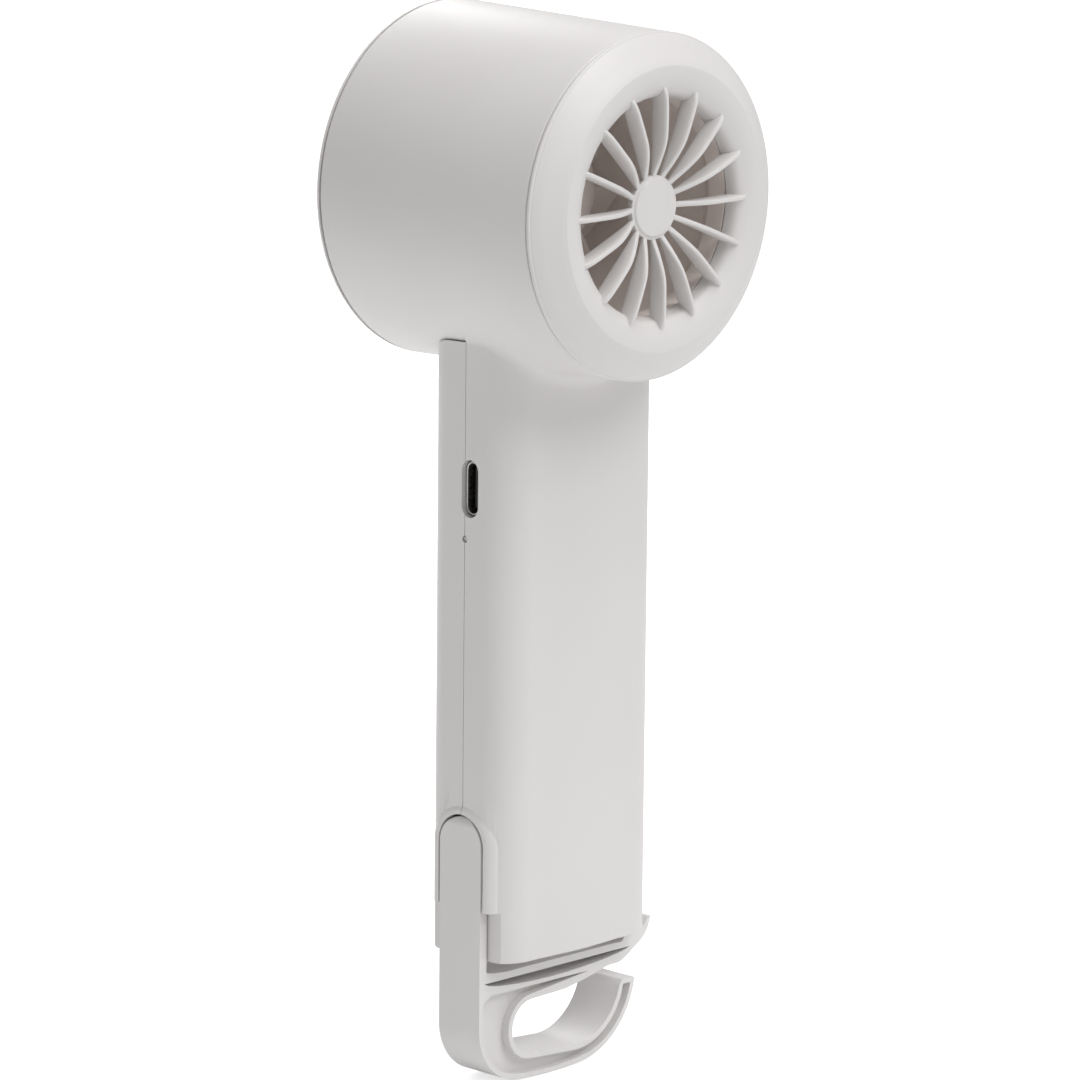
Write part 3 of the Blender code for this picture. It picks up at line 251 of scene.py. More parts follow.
def noise(tree, vector, scale, detail=3.0):
    node = tree.nodes.new("ShaderNodeTexNoise")
    node.inputs["Scale"].default_value = scale
    node.inputs["Detail"].default_value = detail
    tree.links.new(vector, node.inputs["Vector"])
    return node.outputs["Fac"]


def ramp(tree, value, low, high, out_low, out_high):
    """Map value from low..high to out_low..out_high."""
    node = tree.nodes.new("ShaderNodeMapRange")
    for label, amount in (("From Min", low), ("From Max", high), ("To Min", out_low), ("To Max", out_high)):
        node.inputs[label].default_value = amount
    tree.links.new(value, node.inputs["Value"])
    return node.outputs["Result"]


def blend_colour(tree, factor, first, second):
    node = tree.nodes.new("ShaderNodeMix")
    node.data_type = "RGBA"
    tree.links.new(factor, node.inputs["Factor"])
    tree.links.new(first, node.inputs["A"])
    tree.links.new(second, node.inputs["B"])
    return node.outputs["Result"]


def moulded_group():
    group, entry, leave = new_group("moulded_surface", [
        ("Colour", "NodeSocketColor", (0.8, 0.8, 0.8, 1)),
        ("Flow Colour", "NodeSocketColor", (0.7, 0.7, 0.7, 1)),
        ("Dust Colour", "NodeSocketColor", (0.6, 0.55, 0.5, 1)), ("Grain Scale", "NodeSocketFloat", 4000.0),
        ("Dust", "NodeSocketFloat", 0.1),
    ], [("Colour", "NodeSocketColor"), ("Roughness", "NodeSocketFloat"), ("Height", "NodeSocketFloat")])
    links = group.links
    where = group.nodes.new("ShaderNodeTexCoord").outputs["Object"]
    flow = ramp(group, noise(group, where, 38.0, 2.0), 0.3, 0.7, 0.0, 1.0)
    speck = noise(group, where, 900.0, 2.0)
    grain_node = group.nodes.new("ShaderNodeTexNoise")
    grain_node.inputs["Detail"].default_value = 3.0
    links.new(where, grain_node.inputs["Vector"])
    links.new(entry.outputs["Grain Scale"], grain_node.inputs["Scale"])
    facing = group.nodes.new("ShaderNodeSeparateXYZ")
    links.new(group.nodes.new("ShaderNodeNewGeometry").outputs["Normal"], facing.inputs["Vector"])
    upward = ramp(group, facing.outputs["Z"], 0.2, 1.0, 0.0, 1.0)
    settled_dust = group.nodes.new("ShaderNodeMath")
    settled_dust.operation = "MULTIPLY"
    links.new(upward, settled_dust.inputs[0])
    links.new(ramp(group, speck, 0.4, 0.7, 0.3, 1.0), settled_dust.inputs[1])
    dusty = group.nodes.new("ShaderNodeMath")
    dusty.operation = "MULTIPLY"
    links.new(settled_dust.outputs[0], dusty.inputs[0])
    links.new(entry.outputs["Dust"], dusty.inputs[1])
    body = blend_colour(group, flow, entry.outputs["Colour"], entry.outputs["Flow Colour"])
    covered = blend_colour(group, dusty.outputs[0], body, entry.outputs["Dust Colour"])
    links.new(covered, leave.inputs["Colour"])
    satin = ramp(group, grain_node.outputs["Fac"], 0.3, 0.7, SATIN_LOW, SATIN_HIGH)
    links.new(satin, leave.inputs["Roughness"])
    links.new(grain_node.outputs["Fac"], leave.inputs["Height"])
    return group


MOULDED = moulded_group()


# %% Materials that use the group
def moulded(name, colour, flow, dust=0.1, grain=3200.0, bump=0.12, coat=0.0, metallic=0.0, rough=None):
    """A Principled material fed by the moulded surface group; colours are linear."""
    material = bpy.data.materials.new(name)
    material.use_nodes = True
    tree = material.node_tree
    shader = tree.nodes["Principled BSDF"]
    group = tree.nodes.new("ShaderNodeGroup")
    group.node_tree = MOULDED
    group.inputs["Colour"].default_value = (*colour, 1)
    group.inputs["Flow Colour"].default_value = (*flow, 1)
    group.inputs["Grain Scale"].default_value = grain
    group.inputs["Dust"].default_value = dust
    tree.links.new(group.outputs["Colour"], shader.inputs["Base Color"])
    roughness = group.outputs["Roughness"]
    if rough is not None:
        roughness = ramp(tree, roughness, SATIN_LOW, SATIN_HIGH, rough - ROUGH_SPREAD, rough + ROUGH_SPREAD)
    tree.links.new(roughness, shader.inputs["Roughness"])
    relief = tree.nodes.new("ShaderNodeBump")
    relief.inputs["Strength"].default_value = bump
    relief.inputs["Distance"].default_value = GRAIN_DEPTH
    tree.links.new(group.outputs["Height"], relief.inputs["Height"])
    tree.links.new(relief.outputs["Normal"], shader.inputs["Normal"])
    shader.inputs["Coat Weight"].default_value = coat
    shader.inputs["Metallic"].default_value = metallic
    return material


FINISHES = {
    "white_plastic": moulded("satin_white_shell", (0.745, 0.730, 0.725), (0.725, 0.708, 0.700), dust=0.05),
    # The duct and the impeller are lighter and warmer than the white shell. This is painted bounce light, standing
    # in for the warm light that the shaded inside of the head does not get.
    "grey_plastic": moulded("warm_grey_duct", (0.90, 0.83, 0.79), (0.87, 0.80, 0.76), rough=0.55),
    "impeller_plastic": moulded("grey_impeller", (0.85, 0.78, 0.74), (0.82, 0.75, 0.71), rough=0.45),
    "button_plastic": moulded("satin_button", (0.72, 0.705, 0.70), (0.70, 0.685, 0.675),
                              dust=0.0, rough=0.35),
    "black_plastic": moulded("black_insert", (0.012, 0.012, 0.012), (0.02, 0.018, 0.016),
                             dust=0.02, rough=0.5),
    "clear_plastic": moulded("milky_light_pipe", (0.62, 0.61, 0.60), (0.55, 0.54, 0.53),
                             rough=0.25, coat=0.5),
    "steel": moulded("plated_steel", (0.56, 0.55, 0.53), (0.48, 0.47, 0.46),
                     dust=0.02, rough=0.30, metallic=1.0),
    "magnet": moulded("sintered_magnet", (0.06, 0.06, 0.065), (0.10, 0.10, 0.105), grain=9000.0, rough=0.6),
    "copper": moulded("enamelled_copper", (0.72, 0.35, 0.18), (0.60, 0.26, 0.12), rough=0.3, metallic=1.0),
    "board_green": moulded("solder_mask", (0.02, 0.15, 0.07), (0.015, 0.11, 0.05), rough=0.35, coat=0.3),
    "battery_wrap": moulded("foil_pouch", (0.50, 0.51, 0.53), (0.44, 0.45, 0.47), rough=0.35, metallic=0.7),
    "foam": moulded("black_foam", (0.03, 0.03, 0.03), (0.05, 0.05, 0.05), grain=1800.0, bump=0.8, rough=0.9),
    "lamp": moulded("lamp_lens", (0.85, 0.84, 0.75), (0.80, 0.79, 0.70), rough=0.3, coat=0.4),
    "red_wire": moulded("red_insulation", (0.55, 0.03, 0.02), (0.45, 0.02, 0.02), rough=0.4),
    "black_wire": moulded("black_insulation", (0.02, 0.02, 0.02), (0.03, 0.03, 0.03), rough=0.4),
}
slot_of = {part["node"]: part["material_slot"] for part in frame["record"]["subparts"]}
for node, thing in nodes.items():
    thing.data.materials.clear()
    thing.data.materials.append(FINISHES[slot_of[node]])
print("finishes", len(FINISHES))


def finish_piece(piece, slot, body, *replaced):
    """Give a fine piece its finish and its place among the bodies."""
    piece.data.materials.clear()
    piece.data.materials.append(FINISHES[slot])
    settle(piece, body, slot, *replaced)


# %% [markdown]
# ## The two shells
# The handle is two half shells that meet on the plane y = 0. The rear one carries the whole barrel and flows
# into it with a soft fillet; the front one stops just under the barrel. A loft suits both: one half of the
# handle's section, carried upwards, whose last loops bend outwards until they lie on the barrel.

# %% The handle's half section and the barrel's surface
SEAM = 0.06 * MM


def half_section(side, margin=0.0, seam=SEAM):
    """Straight side, quarter circle and crowned back of one half, from +X round to -X."""
    width = HALF_WIDTH - margin
    depth = HALF_DEPTH - margin
    corner = max(CORNER - margin, 1.0 * MM)
    reach = width - corner
    straight = np.stack([np.full(4, width), np.linspace(seam, depth - corner, 4)], -1)[:-1]
    bend = arc((reach, depth - corner), corner, 0, 90, 17)
    share = np.linspace(1, -1, 33)[1:-1]
    back = np.stack([reach * share, depth + CROWN * (1 - share ** 2) ** 2], -1)
    right = np.concatenate([straight, bend])
    left = right[::-1] * [-1, 1]
    return np.concatenate([right, back, left]) * [1, side]


def barrel_radius(y):
    """The barrel's radius falls evenly from the front rim to the rear rim."""
    share = (y + HALF_BARREL) / (2 * HALF_BARREL)
    return FRONT_RADIUS + (REAR_RADIUS - FRONT_RADIUS) * share


def under_barrel(x, y, grow=0.0):
    """Height of the barrel's underside: the centre's height less the root of r squared minus x squared."""
    return HEAD[2] - np.sqrt((barrel_radius(y) + grow) ** 2 - x ** 2)


# %% A handle half as a stack of loops
FILLET_BACK = 3.4 * MM
FILLET_SIDE = 1.0 * MM
TOP_EDGE = 0.25 * MM
BOTTOM_EDGE = 0.5 * MM
NECK_WALL = 2.4 * MM


def handle_half(side, fillet):
    """Rounded foot, straight walls, then a quadratic bend from the wall onto the barrel, then a domed end.

    The bend runs through three points: the wall below the corner, the corner on the barrel, and the barrel's
    surface at the same distance outwards along the wall's normal.
    """
    section = half_section(side)
    x, y = section.T
    loops = []
    for angle in np.linspace(0, math.pi / 2, 5):
        foot = half_section(side, BOTTOM_EDGE * (1 - math.sin(angle)))
        loops.append(place(foot, HANDLE_BOTTOM + BOTTOM_EDGE * (1 - math.cos(angle)), "Z"))
    along = np.gradient(section, axis=0)
    along /= np.linalg.norm(along, axis=1, keepdims=True)
    normal = np.stack([along[:, 1], -along[:, 0]], -1) * side
    normal[[0, -1]] = [[1, 0], [-1, 0]]
    grow = 0.0 if fillet else GAP
    if fillet:
        size = FILLET_SIDE + (FILLET_BACK - FILLET_SIDE) * np.abs(normal[:, 1])
    else:
        size = np.full(len(section), TOP_EDGE)
    top = under_barrel(x, y, grow)
    lower = np.stack([x, y, top - size], -1)
    corner = np.stack([x, y, top], -1)
    if fillet:
        out_x, out_y = (section + normal * size[:, None]).T
        landing = np.stack([out_x, out_y, under_barrel(out_x, out_y, -0.02 * MM)], -1)
    else:
        in_x, in_y = (section - normal * size[:, None]).T
        landing = np.stack([in_x, in_y, under_barrel(in_x, in_y, grow)], -1)
    wall_start = loops[-1]
    for share in np.linspace(0, 1, 12)[1:-1]:
        loops.append(wall_start + (lower - wall_start) * share)
    for t in np.linspace(0, 1, 13):
        loops.append((1 - t) ** 2 * lower + 2 * t * (1 - t) * corner + t ** 2 * landing)
    middle = np.array([0, side * HALF_DEPTH / 2])
    sunk = 1.0 * MM if fillet else 0.0
    for share in (0.96, 0.75, 0.5, 0.25, 0.02):
        inner_x, inner_y = ((landing[:, :2] - middle) * share + middle).T
        height = under_barrel(inner_x, inner_y, grow) + sunk
        loops.append(np.stack([inner_x, inner_y, height], -1))
    return np.stack(loops)


def handle_hollow(side):
    """The room inside one half, from the floor to below the neck; shell_piece narrows it beside the clip's hinge.
    """
    floor = HANDLE_BOTTOM + WALL
    neck = HEAD[2] - FRONT_RADIUS - NECK_WALL
    section = half_section(side, WALL, seam=-2.0 * MM)
    return np.stack([place(section, level, "Z") for level in (floor, neck)])


def rectangle(low, high):
    return np.array([(low[0], low[1]), (high[0], low[1]), (high[0], high[1]), (low[0], high[1])])


def capsule(centre, width, height):
    """Two half circles, one above and one below the centre, joined by straight sides."""
    radius = width / 2
    reach = height / 2 - radius
    upper = arc((centre[0], centre[1] + reach), radius, 0, 180, 17)
    lower = arc((centre[0], centre[1] - reach), radius, 180, 360, 17)
    return np.concatenate([upper, lower])


# %% Openings, the clip's channel and its raised rim
usb_low, usb_high = corners("usb_shell")
pipe_low, pipe_high = corners("light_pipe")
button_low, button_high = corners("power_button")
USB_CENTRE = ((usb_low[1] + usb_high[1]) / 2, (usb_low[2] + usb_high[2]) / 2)
USB_SIZE = (usb_high[1] - usb_low[1], usb_high[2] - usb_low[2])
ARM_THICKNESS = 1.6 * MM
ARM_INNER = ARM_OUTER - ARM_THICKNESS
CHANNEL_FLOOR = ARM_INNER - GAP
ARCH_GAP = 0.45 * MM
CHEEK_BOTTOM = 30.4 * MM
SWING = math.hypot(ARM_OUTER - HINGE[0], CLIP_HALF) + GAP
KNUCKLE = 1.55 * MM
KNUCKLE_ROOM = KNUCKLE + 0.4 * MM
PIN = 0.6 * MM
PIN_SOCKET = 6.6 * MM
LAMP_HOLE = 0.6 * MM
SOCKET_DEPTH = 14.6 * MM
RELIEF_HALF = 12 * MM
RIM_FLANK = ((15.7, 7.15), (17.0, 7.15), (17.45, 7.05), (17.85, 6.8), (18.2, 6.45), (18.45, 6.1),
             (18.6, 5.8), (18.65, 5.6))


def side_cutters():
    """Charging slot, lamp hole, arm's channel, knuckle's pocket, pin's hole and foot relief."""
    far = HALF_WIDTH + 3 * MM
    slot = slab(capsule(USB_CENTRE, USB_SIZE[0] + 2 * GAP, USB_SIZE[1] + 2 * GAP), SOCKET_DEPTH, far, "X")
    lamp = slab(arc((0, (pipe_low[2] + pipe_high[2]) / 2), LAMP_HOLE, 0, 345, 24), SOCKET_DEPTH, far, "X")
    room = CLIP_HALF + GAP
    arch = arc((0, HINGE[2]), CLIP_HALF + ARCH_GAP, 0, 180, 49)
    channel = slab(np.concatenate([[(-room, 0), (room, 0)], arch]), CHANNEL_FLOOR, far, "X")
    edge = CHANNEL_FLOOR + GAP / 2
    pivot = (HINGE[0], HINGE[2])
    pocket = np.concatenate([[(edge, HINGE[2] + SWING)], arc(pivot, SWING, 96, 186, 21),
                             arc(pivot, KNUCKLE_ROOM, 186, 258, 13), [(edge, HINGE[2] - KNUCKLE_ROOM)]])
    pin = arc(pivot, PIN + GAP / 2, 0, 345, 24)
    relief = rectangle((-RELIEF_HALF, 0), (RELIEF_HALF, CHEEK_BOTTOM))
    return [slot, lamp, channel, slab(pocket, -room, room, "Y"), slab(pin, -PIN_SOCKET, PIN_SOCKET, "Y"),
            slab(relief, CHANNEL_FLOOR, far, "X")]


def raised_rim(side):
    """Half of the rim round the arm: an arch whose radius shrinks towards its top in a soft flank."""
    loops = []
    for level, radius in RIM_FLANK:
        bend = arc((0, HINGE[2]), radius * MM, 0, 88, 33)
        outline = np.concatenate([[(SEAM, CHEEK_BOTTOM), (radius * MM, CHEEK_BOTTOM)], bend,
                                  [(SEAM, HINGE[2] + radius * MM)]])
        loops.append(place(outline * [side, 1], level * MM, "X"))
    return np.stack(loops)


# %% The rear shell with its barrel
BARREL_EDGE = 0.35 * MM


def barrel_stack():
    """Turn the barrel's wall: tapered outside, straight bore, rounded rims."""
    wall = [(FRONT_RADIUS, -HALF_BARREL), (REAR_RADIUS, HALF_BARREL),
            (BORE, HALF_BARREL), (BORE, -HALF_BARREL)]
    rounded = eased(wall, BARREL_EDGE)
    return turned(rounded, HEAD, steps=192)


def backing():
    """Solid plastic behind the hinge, which the hollow leaves standing."""
    inner = HINGE[0] - SWING - GAP - WALL
    return inner, HINGE[2] + SWING + WALL


def shell_piece(name, side, fillet):
    piece = make_piece(name, [(handle_half(side, fillet), False)])
    carve(piece, [raised_rim(side)], "UNION")
    inner, shelf = backing()
    hollow = handle_hollow(side)
    keep = np.minimum(hollow[..., 0], inner)
    lower = hollow.copy()
    lower[..., 0] = keep
    lower[1, :, 2] = shelf
    upper = hollow.copy()
    upper[0, :, 2] = shelf - 0.01 * MM
    carve(piece, [lower, upper] + side_cutters())
    return piece


rear_shell = shell_piece("rear_shell", 1, True)
barrel = make_piece("barrel", [(barrel_stack(), True)])
joined = bmesh.new()
joined.from_mesh(rear_shell.data)
joined.from_mesh(barrel.data)
joined.to_mesh(rear_shell.data)
joined.free()
bpy.data.objects.remove(barrel, do_unlink=True)
soften(rear_shell)
finish_piece(rear_shell, "white_plastic", "housing", "rear_housing")

# %% The front shell with its button hole
front_shell = shell_piece("front_shell", -1, False)
BUTTON_Z = (button_low[2] + button_high[2]) / 2
BUTTON_RADIUS = 5.2 * MM
button_hole = arc((0, BUTTON_Z), BUTTON_RADIUS + GAP, 0, 356, 90)
carve(front_shell, [slab(button_hole, -14 * MM, -5 * MM, "Y")])
soften(front_shell)
finish_piece(front_shell, "white_plastic", "housing", "front_cover")

# %% [markdown]
# ## The grilles
# Each end of the head has a bezel that rolls over into a bell mouth, with straight radial vanes and a small
# disc at the centre. The ring and the disc are turned profiles. A vane is a thin loft along the radius: its
# section is a squared ellipse, and its front edge rises from the disc and dies into the bell mouth.

# %% Bezel, vanes and disc
THROAT = 17.6 * MM
THROAT_FOOT = 0.9 * MM
VANES = 16
VANE_THICKNESS = 0.9 * MM
HUB_RADIUS = 5.2 * MM
DISC_RADIUS = 4.7 * MM
HUB_HEIGHT = 1.5 * MM


def through(points, steps=6):
    """A Catmull-Rom curve through the points: a cubic between each pair, steered by their neighbours."""
    points = np.asarray(points, float)
    padded = np.concatenate([points[:1], points, points[-1:]])
    a, b, c, d = padded[:-3, None], padded[1:-2, None], padded[2:-1, None], padded[3:, None]
    t = np.linspace(0, 1, steps, endpoint=False)[None, :, None]
    square, cube = 2 * a - 5 * b + 4 * c - d, 3 * b - a - 3 * c + d
    curve = 0.5 * (2 * b + (c - a) * t + square * t ** 2 + cube * t ** 3)
    return np.concatenate([curve.reshape(-1, points.shape[1]), points[-1:]])


def bezel_outline(rim):
    """The visible curve from rim to throat, then a plain back that plugs into the barrel."""
    crest = rim * 0.811
    band, mouth = rim - crest, crest - THROAT
    top = BEZEL_HEIGHT
    spigot = BORE - GAP
    face = through([(rim, 0.3 * MM), (rim, 0.62 * MM), (rim - 0.12 * MM, 0.78 * MM),
                    (rim - 0.32 * MM, 0.86 * MM), (rim - 0.5 * MM, 1.1 * MM), (rim - 0.28 * band, 1.98 * MM),
                    (rim - 0.52 * band, 2.86 * MM), (rim - 0.78 * band, 3.78 * MM),
                    (rim - 0.9 * band, top - 0.17 * MM), (crest, top),
                    (THROAT + 0.68 * mouth, top - 0.22 * MM), (THROAT + 0.38 * mouth, top - 0.8 * MM),
                    (THROAT + 0.12 * mouth, top - 1.7 * MM), (THROAT, THROAT_FOOT)])
    back = [(THROAT + 0.1 * MM, 0.75 * MM), (THROAT + 1.5 * MM, 0.75 * MM), (THROAT + 1.6 * MM, 1.1 * MM),
            (crest, top - 1.6 * MM), (spigot - 1.2 * MM, 0.6 * MM), (spigot - 1.2 * MM, -3.5 * MM),
            (spigot, -3.5 * MM), (spigot, 0.3 * MM)]
    return np.concatenate([face, back])


def squared(wave):
    """A wave with flattened crests: its size to the power 0.55, its sign kept."""
    return np.sign(wave) * np.abs(wave) ** 0.55


def vane_stacks(centre, side, crest):
    """Radial lofts: |across| and |along| follow a squared ellipse, with the front edge's height by radius."""
    mouth = crest - THROAT
    reach = np.array([HUB_RADIUS - 1.2 * MM, HUB_RADIUS, 8 * MM, 11 * MM, 14 * MM, THROAT,
                      THROAT + 0.30 * mouth, THROAT + 0.5 * mouth])
    height = np.array([1.3, 1.55, 2.95, 4.0, 4.2, 4.15, 3.75, 2.9]) * MM
    edge = through(np.stack([reach, height], -1), 5)
    radius, front = edge[:, 0][:, None], edge[:, 1][:, None]
    rear = np.full_like(front, 0.9 * MM)
    rear = np.where(radius > THROAT + 0.5 * MM, 0.9 * MM + (radius - THROAT) * 0.4, rear)
    angle = np.linspace(0, 2 * math.pi, 20, endpoint=False)[None, :]
    across = VANE_THICKNESS / 2 * squared(np.cos(angle)) + 0 * radius
    along = (front + rear) / 2 + (front - rear) / 2 * squared(np.sin(angle))
    stacks = []
    for turn in np.radians(90 + 360 / VANES * np.arange(VANES)):
        x = radius * math.cos(turn) - across * math.sin(turn)
        z = radius * math.sin(turn) + across * math.cos(turn)
        stacks.append((np.stack([x, side * along, z], -1) + centre, False))
    return stacks


def disc_stack(centre, side):
    """The hub: a low drum with a slightly raised, bevelled disc."""
    top = HUB_HEIGHT + 0.4 * MM
    corner = [(HUB_RADIUS, 0.3 * MM), (HUB_RADIUS, HUB_HEIGHT), (DISC_RADIUS + 0.1 * MM, HUB_HEIGHT),
              (DISC_RADIUS - 0.1 * MM, top), (0.5 * MM, top), (0.5 * MM, 0.3 * MM)]
    rounded = eased(corner, 0.22 * MM)
    rounded[rounded[:, 0] < 0.8 * MM, 0] = 0.0001 * MM
    return turned(rounded, centre, side, steps=64)


def grille(name, side, rim, node):
    centre = HEAD + np.array([0, side * HALF_BARREL, 0])
    shells = [(turned(bezel_outline(rim), centre, side, steps=192), True), (disc_stack(centre, side), True)]
    shells += vane_stacks(centre, side, rim * 0.811)
    piece = make_piece(name, shells)
    finish_piece(piece, "white_plastic", "housing", node)


grille("intake_bezel", 1, REAR_RADIUS, "intake_grille")
grille("outlet_bezel", -1, FRONT_RADIUS, "outlet_grille")

# %% [markdown]
# ## The air path
# Behind the vanes lie a plain sleeve, a hub with twisted blades, and a ring of fixed vanes round the motor. A
# blade is a loft of thin aerofoils: the section's lean grows with the radius, because the tip moves faster
# than the root and meets the air at a flatter angle.

# %% Sleeve, hub and blades
hub_low, hub_high = corners("impeller")
NACELLE = 11.2 * MM
SLEEVE = 19.5 * MM
SLEEVE_WALL = 1.2 * MM
NOSE = hub_high[1]
HUB_OPEN = hub_low[1]
TOP = NOSE - 4.2 * MM


def blade_stacks(count, inner, outer, middle, chord, lean_in, lean_out, thickness, first=0.0):
    """Sections at each radius: chord along the lean, thickness sin a (1 + 0.4 cos a) across it."""
    share = np.linspace(0, 1, 14)[:, None]
    radius = inner + (outer - inner) * share
    lean = np.radians(lean_in + (lean_out - lean_in) * share)
    angle = np.linspace(0, 2 * math.pi, 28, endpoint=False)[None, :]
    along = chord / 2 * np.cos(angle) * (1 - 0.06 * share ** 4)
    across = thickness / 2 * np.sin(angle) * (1 + 0.4 * np.cos(angle)) * (1.15 - 0.4 * share)
    camber = 0.05 * chord * (1 - (2 * along / chord) ** 2)
    sideways = along * np.sin(lean) + (across + camber) * np.cos(lean)
    height = along * np.cos(lean) - (across + camber) * np.sin(lean)
    stacks = []
    for turn in first + 2 * math.pi * np.arange(count) / count:
        swing = turn + sideways / radius
        stack = np.stack([radius * np.cos(swing), middle + height, -radius * np.sin(swing)], -1)
        stacks.append((stack + HEAD * [1, 0, 1], False))
    return stacks


def hub_outline():
    """A domed nose and a straight skirt, hollow behind for the motor's cup."""
    nose = through([(0.0001 * MM, NOSE), (3.2 * MM, NOSE - 0.15 * MM), (6.0 * MM, NOSE - 0.65 * MM),
                    (8.6 * MM, NOSE - 1.7 * MM), (10.3 * MM, NOSE - 3.2 * MM), (NACELLE, NOSE - 5.4 * MM)])
    inside = [(NACELLE, HUB_OPEN), (NACELLE - 1.4 * MM, HUB_OPEN), (NACELLE - 1.4 * MM, TOP),
              (1.3 * MM, TOP), (1.3 * MM, NOSE - 1.9 * MM), (0.0001 * MM, NOSE - 1.9 * MM)]
    return np.concatenate([nose, inside])


centre_line = HEAD * [1, 0, 1]
BLADES = 9
BLADE_CHORD = 10.6 * MM
ROOT_LEAN, TIP_LEAN = 42, 60
blades = blade_stacks(BLADES, NACELLE - 0.7 * MM, SLEEVE - 0.85 * MM, HUB_OPEN + 5 * MM, BLADE_CHORD,
                      ROOT_LEAN, TIP_LEAN, 1.0 * MM)
fan_wheel = make_piece("fan_wheel", [(turned(hub_outline(), centre_line, steps=96), True)] + blades)
finish_piece(fan_wheel, "impeller_plastic", "rotor", "impeller")

rim_rear, rim_front = duct_high[1], duct_low[1]
mouth = HALF_BARREL + 0.55 * MM
sleeve_outline = [(THROAT, mouth), (THROAT + SLEEVE_WALL, mouth),
                  (THROAT + SLEEVE_WALL, rim_rear + SLEEVE_WALL),
                  (BORE - GAP, rim_rear), (BORE - GAP, rim_rear - SLEEVE_WALL),
                  (SLEEVE + SLEEVE_WALL, rim_rear - SLEEVE_WALL),
                  (SLEEVE + SLEEVE_WALL, rim_front + SLEEVE_WALL), (BORE - GAP, rim_front + SLEEVE_WALL),
                  (BORE - GAP, rim_front), (SLEEVE, rim_front), (SLEEVE, rim_rear - SLEEVE_WALL),
                  (THROAT, rim_rear + SLEEVE_WALL)]
sleeve_stack = turned(eased(sleeve_outline, 0.15 * MM), centre_line, steps=160)
air_sleeve = make_piece("air_sleeve", [(sleeve_stack, True)])
finish_piece(air_sleeve, "grey_plastic", "housing", "inner_duct")

# %% [markdown]
# ## Charging socket and power button
# The socket is a folded metal shell: a capsule outline with a thin wall and a rounded lip. The button is a
# turned cap with a shallow dish for the thumb and a hidden flange that keeps it in the shell.

# %% Socket shell and button cap
def socket_loop(shrink):
    """The socket's capsule outline, smaller by shrink on every side."""
    return capsule(USB_CENTRE, USB_SIZE[0] - 2 * shrink, USB_SIZE[1] - 2 * shrink)


def socket_shell():
    """Outer and inner capsule loops along X; the lip is a half circle between them."""
    wall = 0.35 * MM
    loops = [place(socket_loop(0), usb_low[0], "X")]
    for angle in np.linspace(0, math.pi, 9):
        shrink = wall / 2 * (1 - math.cos(angle))
        loops.append(place(socket_loop(shrink), usb_high[0] - wall / 2 + wall / 2 * math.sin(angle), "X"))
    loops.append(place(socket_loop(wall), usb_low[0], "X"))
    return np.stack(loops)


socket = make_piece("charging_socket", [(socket_shell(), True)])
finish_piece(socket, "steel", "housing", "usb_shell")


def button_outline():
    """Dished top, rounded rim, straight side, flange and stem, as (radius, height in front of y = 0)."""
    top = -button_low[1]
    flange = HALF_DEPTH - WALL + 0.05 * MM
    face = [(0.0001 * MM, top - 0.35 * MM), (2.0 * MM, top - 0.28 * MM), (3.4 * MM, top - 0.08 * MM),
            (4.2 * MM, top), (4.8 * MM, top - 0.12 * MM), (BUTTON_RADIUS, top - 0.6 * MM)]
    back = [(BUTTON_RADIUS, flange), (BUTTON_RADIUS + 1.1 * MM, flange),
            (BUTTON_RADIUS + 1.1 * MM, flange - 1.1 * MM), (1.6 * MM, flange - 1.1 * MM),
            (1.6 * MM, -button_high[1]), (0.0001 * MM, -button_high[1])]
    return np.concatenate([through(face), back])


button_cap = make_piece("button_cap", [(turned(button_outline(), np.array([0, 0, BUTTON_Z]), -1, 96), True)])
finish_piece(button_cap, "button_plastic", "button", "power_button")

# %% [markdown]
# ## The clip
# One cored moulding: an arm up the handle's narrow side, a cradle of two ribs under the handle, a hook with
# its loop, and a thin finger tab. It is an outline with rounded rims, and the grooves are cut from both
# faces, which is how a mould makes them to keep the walls even.

# %% The clip's outline
RIB = 1.2 * MM
CRADLE_TOP = HANDLE_BOTTOM - 2.0 * MM
FOOT_CORNER = 10.0 * MM
HOOK_RADIUS = 14.2 * MM
HOOK_WALL = 3.6 * MM
HOOK_X = HOOK_RADIUS - HALF_WIDTH - 0.3 * MM
LOOP_RADIUS = 4.6 * MM
LOOP_END = (ARM_OUTER - 12.4 * MM, 4.3 * MM + LOOP_RADIUS)
BAND_WALL = 0.9 * MM
DROP = 0.6 * MM
GROOVE_TOP = 1.8 * MM
GROOVE_HEIGHT = 1.6 * MM
LOWER_RIB = 0.6 * MM
BOTTOM_TURN = 7
BOTTOM_LIFT = 0.4 * MM
TAB_X = clip_low[0]
GROOVE_DEPTH = 3.7 * MM
BAND_DEPTH = 1.6 * MM


def outer_run(inset, end):
    """Foot, shallow bottom arc and hook, moved inwards; they meet after a turn of BOTTOM_TURN each."""
    foot_x = ARM_OUTER - FOOT_CORNER
    turn = math.sin(math.radians(BOTTOM_TURN))
    right, left = foot_x + FOOT_CORNER * turn, HOOK_X - HOOK_RADIUS * turn
    radius = (right - left) / 2 / turn
    foot = arc((foot_x, FOOT_CORNER + BOTTOM_LIFT), FOOT_CORNER - inset, 0, BOTTOM_TURN - 90, 25)
    bottom = arc(((right + left) / 2, radius), radius - inset, BOTTOM_TURN - 90, -BOTTOM_TURN - 90, 13)
    hook = arc((HOOK_X, HOOK_RADIUS + BOTTOM_LIFT), HOOK_RADIUS - inset, -BOTTOM_TURN - 90, end, 33)
    return np.concatenate([foot, bottom[1:-1], hook])


